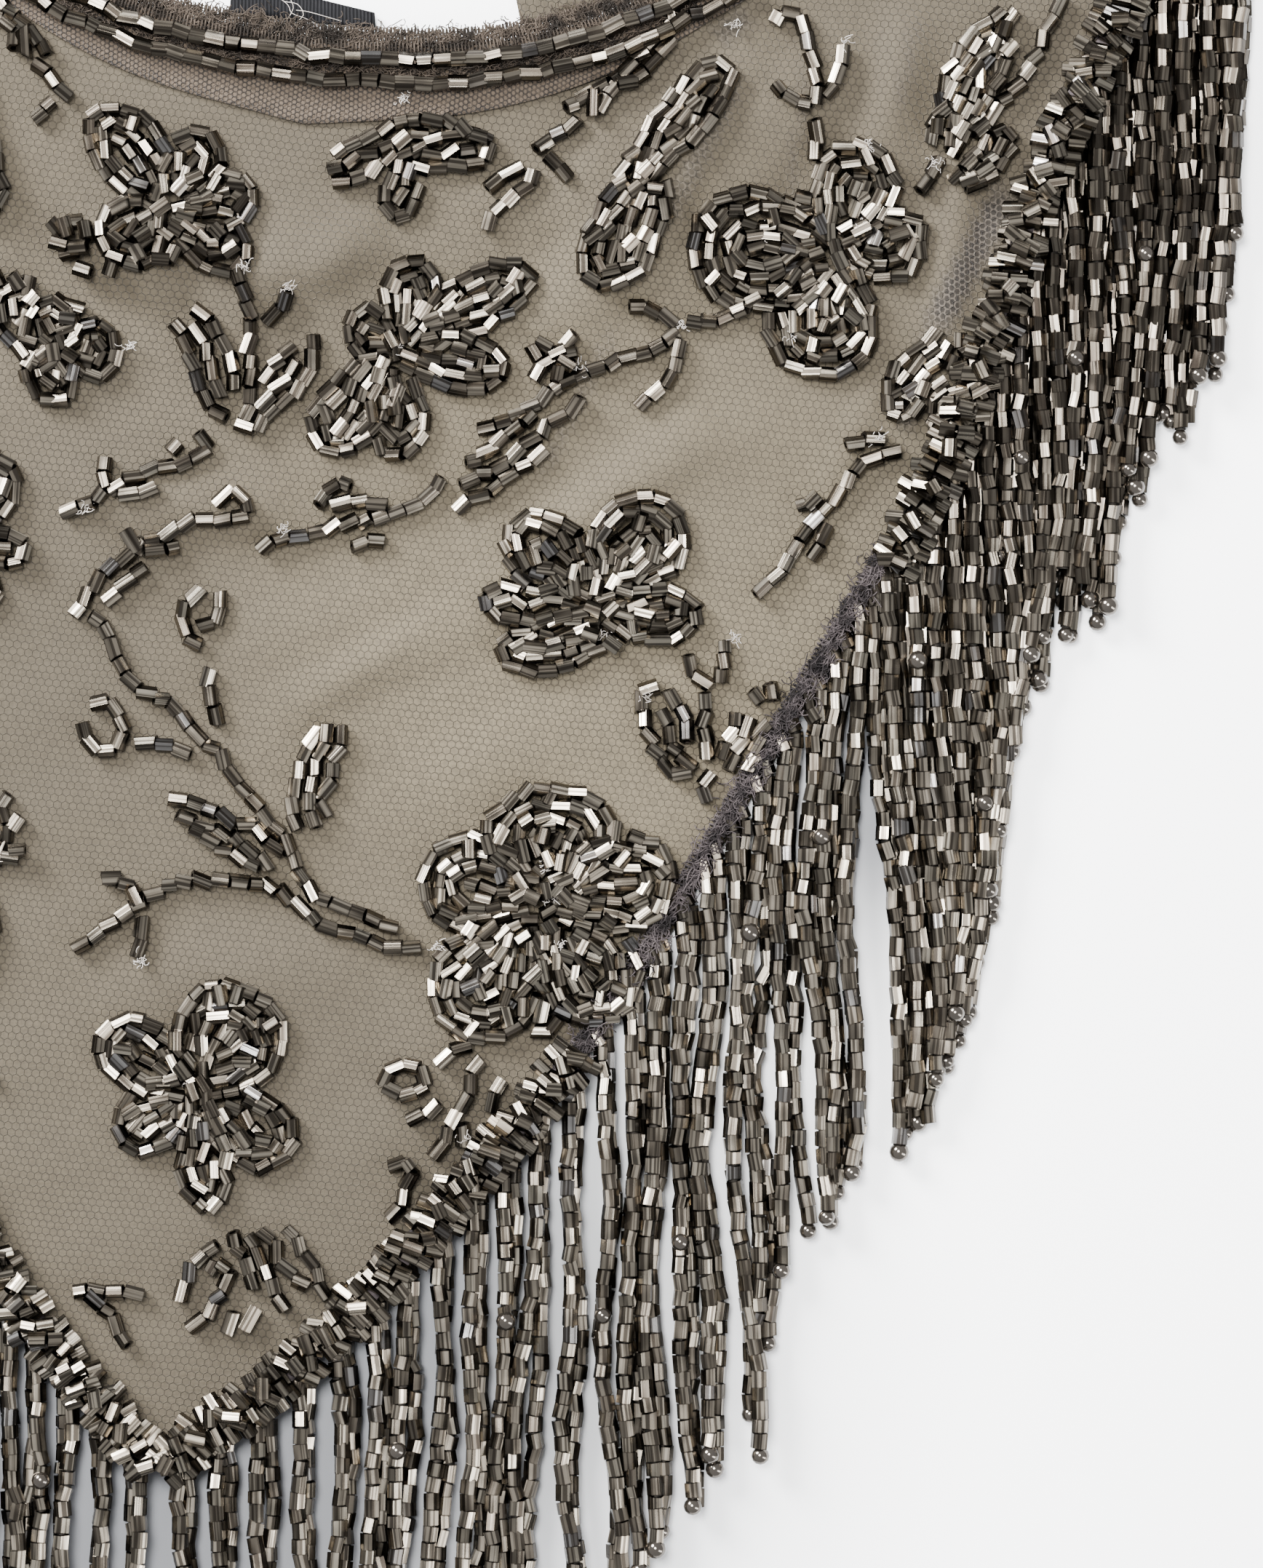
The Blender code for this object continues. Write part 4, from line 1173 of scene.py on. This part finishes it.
def set_stage():
    """Pale floor, soft boxes, and the camera straight above what the photograph shows."""
    bm = bmesh.new()
    bmesh.ops.create_grid(bm, x_segments=2, y_segments=2, size=2.0)
    bmesh.ops.translate(bm, verts=bm.verts, vec=(0.0, 0.0, -0.0001))
    floor = put("floor", mesh_of("floor", bm))
    floor.data.materials.append(floor_finish())
    world = bpy.data.worlds.new("studio")
    world.use_nodes = True
    world.node_tree.nodes["Background"].inputs[0].default_value = (0.75, 0.77, 0.8, 1)
    world.node_tree.nodes["Background"].inputs[1].default_value = 1.6
    bpy.context.scene.world = world
    area_light("key", (-0.8, 0.75, 0.6), MIDDLE_SHOWN, (0.5, 0.5), 95.0)
    area_light("overhead", (-0.2, 0.25, 1.2), MIDDLE_SHOWN, (0.45, 0.45), 52.0)
    area_light("fill", (0.9, -0.5, 0.6), MIDDLE_SHOWN, (0.3, 0.9), 20.0)
    camera = bpy.data.cameras.new("camera")
    camera.sensor_width = 36.0
    camera.lens = CAMERA_LENS
    camera.clip_end = 10.0
    holder = put("camera", camera)
    holder.location = CAMERA_PLACE
    bpy.context.scene.camera = holder


def neck_band_outline():
    line = neck_line(2.0)
    line = line[line[:, 1] < SEAM_AT_NECK[1] - 2.0]
    depth = 12.0 - 4.4 * np.clip(np.abs(line[:, 0]) / 45.0, 0, 1)
    top = moved_in(line, -1.8)
    bottom = line + outward_of(line) * depth[:, None]
    return to_row(np.vstack((bottom, top[::-1])))


def build():
    net = net_finish()
    lining_cloth = plain_cloth_finish("lining", CREPE_LIGHT, CREPE_THREAD, 1800)
    band_cloth = plain_cloth_finish("neck_net", (0.055, 0.0405, 0.028, 1), (0.011, 0.008, 0.006, 1), 1500)
    beads = bead_finish("glass_beads", (0.66, 0.575, 0.45, 1))
    strands = bead_finish("strand_beads", (0.70, 0.61, 0.485, 1))
    balls = ball_finish()
    cord_thread = thread_finish("cord", (0.02, 0.017, 0.014, 1), (0.008, 0.007, 0.006, 1))
    hem_thread = thread_finish("overlock", (0.044, 0.036, 0.0365, 1), (0.0085, 0.007, 0.0072, 1))
    neck_thread = thread_finish("neck_thread", (0.044, 0.034, 0.026, 1), (0.009, 0.007, 0.0055, 1))
    stitch_thread = thread_finish("stitch_thread", (0.38, 0.35, 0.32, 1), (0.2, 0.18, 0.16, 1))

    bib = to_row(bib_outline(-CLOTH_OUT))
    cloth = cut_sheet("net_cloth", bib, 1.2, net_top, net)
    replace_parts(cloth, "net_bib")
    under = to_row(bib_outline(-LINING_OUT))
    lining = cut_sheet("lining_cloth", under, 6.0, level(UNDER_TOP), lining_cloth, 0.8)
    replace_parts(lining, "lining")
    doubled = neck_band_outline()
    band = cut_sheet("neck_band_net", doubled, 2.0, lambda p: net_top(p) + BAND_LIFT, band_cloth)
    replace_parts(band, "neck_band")

    for side, word in ((1, "right"), (-1, "left")):
        tie = cut_sheet(
            "tie_cloth_" + word, to_row(tie_outline(side)), 3.0,
            lambda p: 1.6 + 0.25 * np.sin(p[:, 0] * 0.5 + 0.2 * p[:, 1]), net, 1.2,
        )
        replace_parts(tie, "tie_" + word)
        hanging = fringe("strands_" + word, side, 20 + side, strands, balls, cord_thread)
        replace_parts(hanging, "fringe_" + word)
        for name, low, high, out in ROLLS:
            place = name + "_" + word
            roll = hem_roll_beads("hem_roll_" + place, low, high, side, out, 40 + side, beads)
            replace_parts(roll, "hem_beads_" + place)
            core = roll_line(low, high, 1.0, side, out)
            core = np.column_stack((core, np.full(len(core), CORE_HEIGHT)))
            threads("roll_core_" + place, [core], CORE_RADIUS, 2, hem_thread)

    motifs = motif_beads(beads)
    names = sorted(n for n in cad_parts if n.startswith(("flower_", "leaf_")))
    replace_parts(motifs[0], *[n for n in names if not n.endswith("_left")])
    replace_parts(motifs[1], *[n for n in names if n.endswith("_left")])

    rng = np.random.default_rng(5)
    wound = []
    tangle = []
    for low, high in BARE_HEM:
        for side in (1, -1):
            bare = roll_line(low, high, 0.5, side, OVERLOCK_OUT)
            outer = moved_in(bare, -0.9 * side)
            wound += [wound_thread(outer, 2.7, 0.8, 0.7, rng), wound_thread(bare, 3.0, 0.7, 0.6, rng)]
            tangle += fuzz(moved_in(bare, -0.5 * side), 2.9, 2.3, int(len(bare) * 9), rng, 0.75, 0.5)
            tangle += fuzz(outer, 2.9, 1.6, int(len(bare) * 2.5), rng, 0.6, 1.6)
    threads("hem_overlock", wound, 0.13, 0, hem_thread)
    threads("hem_fuzz", tangle, 0.07, 0, hem_thread, False)
    short = neck_line(0.5)
    short = to_row(short[short[:, 1] < 19.0])
    wound = []
    for off, high in ((0.1, 1.8), (1.1, 2.6), (2.1, 2.9)):
        wound.append(wound_thread(moved_in(short, -off), high, 0.7, 0.45, rng))
    neck = threads("neck_overlock", wound, 0.12, 0, neck_thread)
    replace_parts(neck, "neck_edging")
    tangle = fuzz(moved_in(short, -1.0), 2.4, 1.8, 4000, rng, 0.8, 0.9)
    tangle += fuzz(moved_in(short, -4.9), 3.0, 1.6, 1400, rng, 0.6, 0.5)
    threads("neck_fuzz", tangle, 0.065, 0, neck_thread, False)
    tufts = []
    for spot in on_view(STITCH_ENDS):
        tufts += fuzz(spot[None], net_top(spot[None])[0] + 1.2, 1.1, 16, rng, 0.35)
    tufts += [np.column_stack((smooth_line(on_view(line), 0.4), height)) for line, height in torn_threads()]
    threads("stitch_ends", tufts, 0.045, 0, stitch_thread)

    for name, depth, seed in (("upper", 3.6, 31), ("lower", 6.4, 32)):
        line = moved_in(neck_line(0.5), -depth)
        line = to_row(line[line[:, 1] < 14.0])
        pile = BeadPile("neck_beads_" + name, seed)
        pile.row_on_net(line, 0.9, 0.17, 1.0)
        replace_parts(pile.built(beads, "glass_beads"), "neck_row_" + name)

    scrap = to_row(np.array(((-10.8, 3.3), (7.5, 3.6), (7.2, 5.5), (0.3, 6.4), (-10.9, 7.8))))
    label = cut_sheet("label_scrap", scrap, 1.5, level(LABEL_TOP), label_finish(), 0.4)
    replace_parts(label, "label")
    low = moved_in(neck_line(2.0), 0.3)
    low = low[(low[:, 0] > 24.0) & (low[:, 0] < 42.0)]
    ply = to_row(np.vstack((low, moved_in(low, 6.5)[::-1])))
    back = cut_sheet("back_net", ply, 2.0, level(UNDER_TOP), net, 0.6)
    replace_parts(back, "back_ply")
    set_stage()


build()
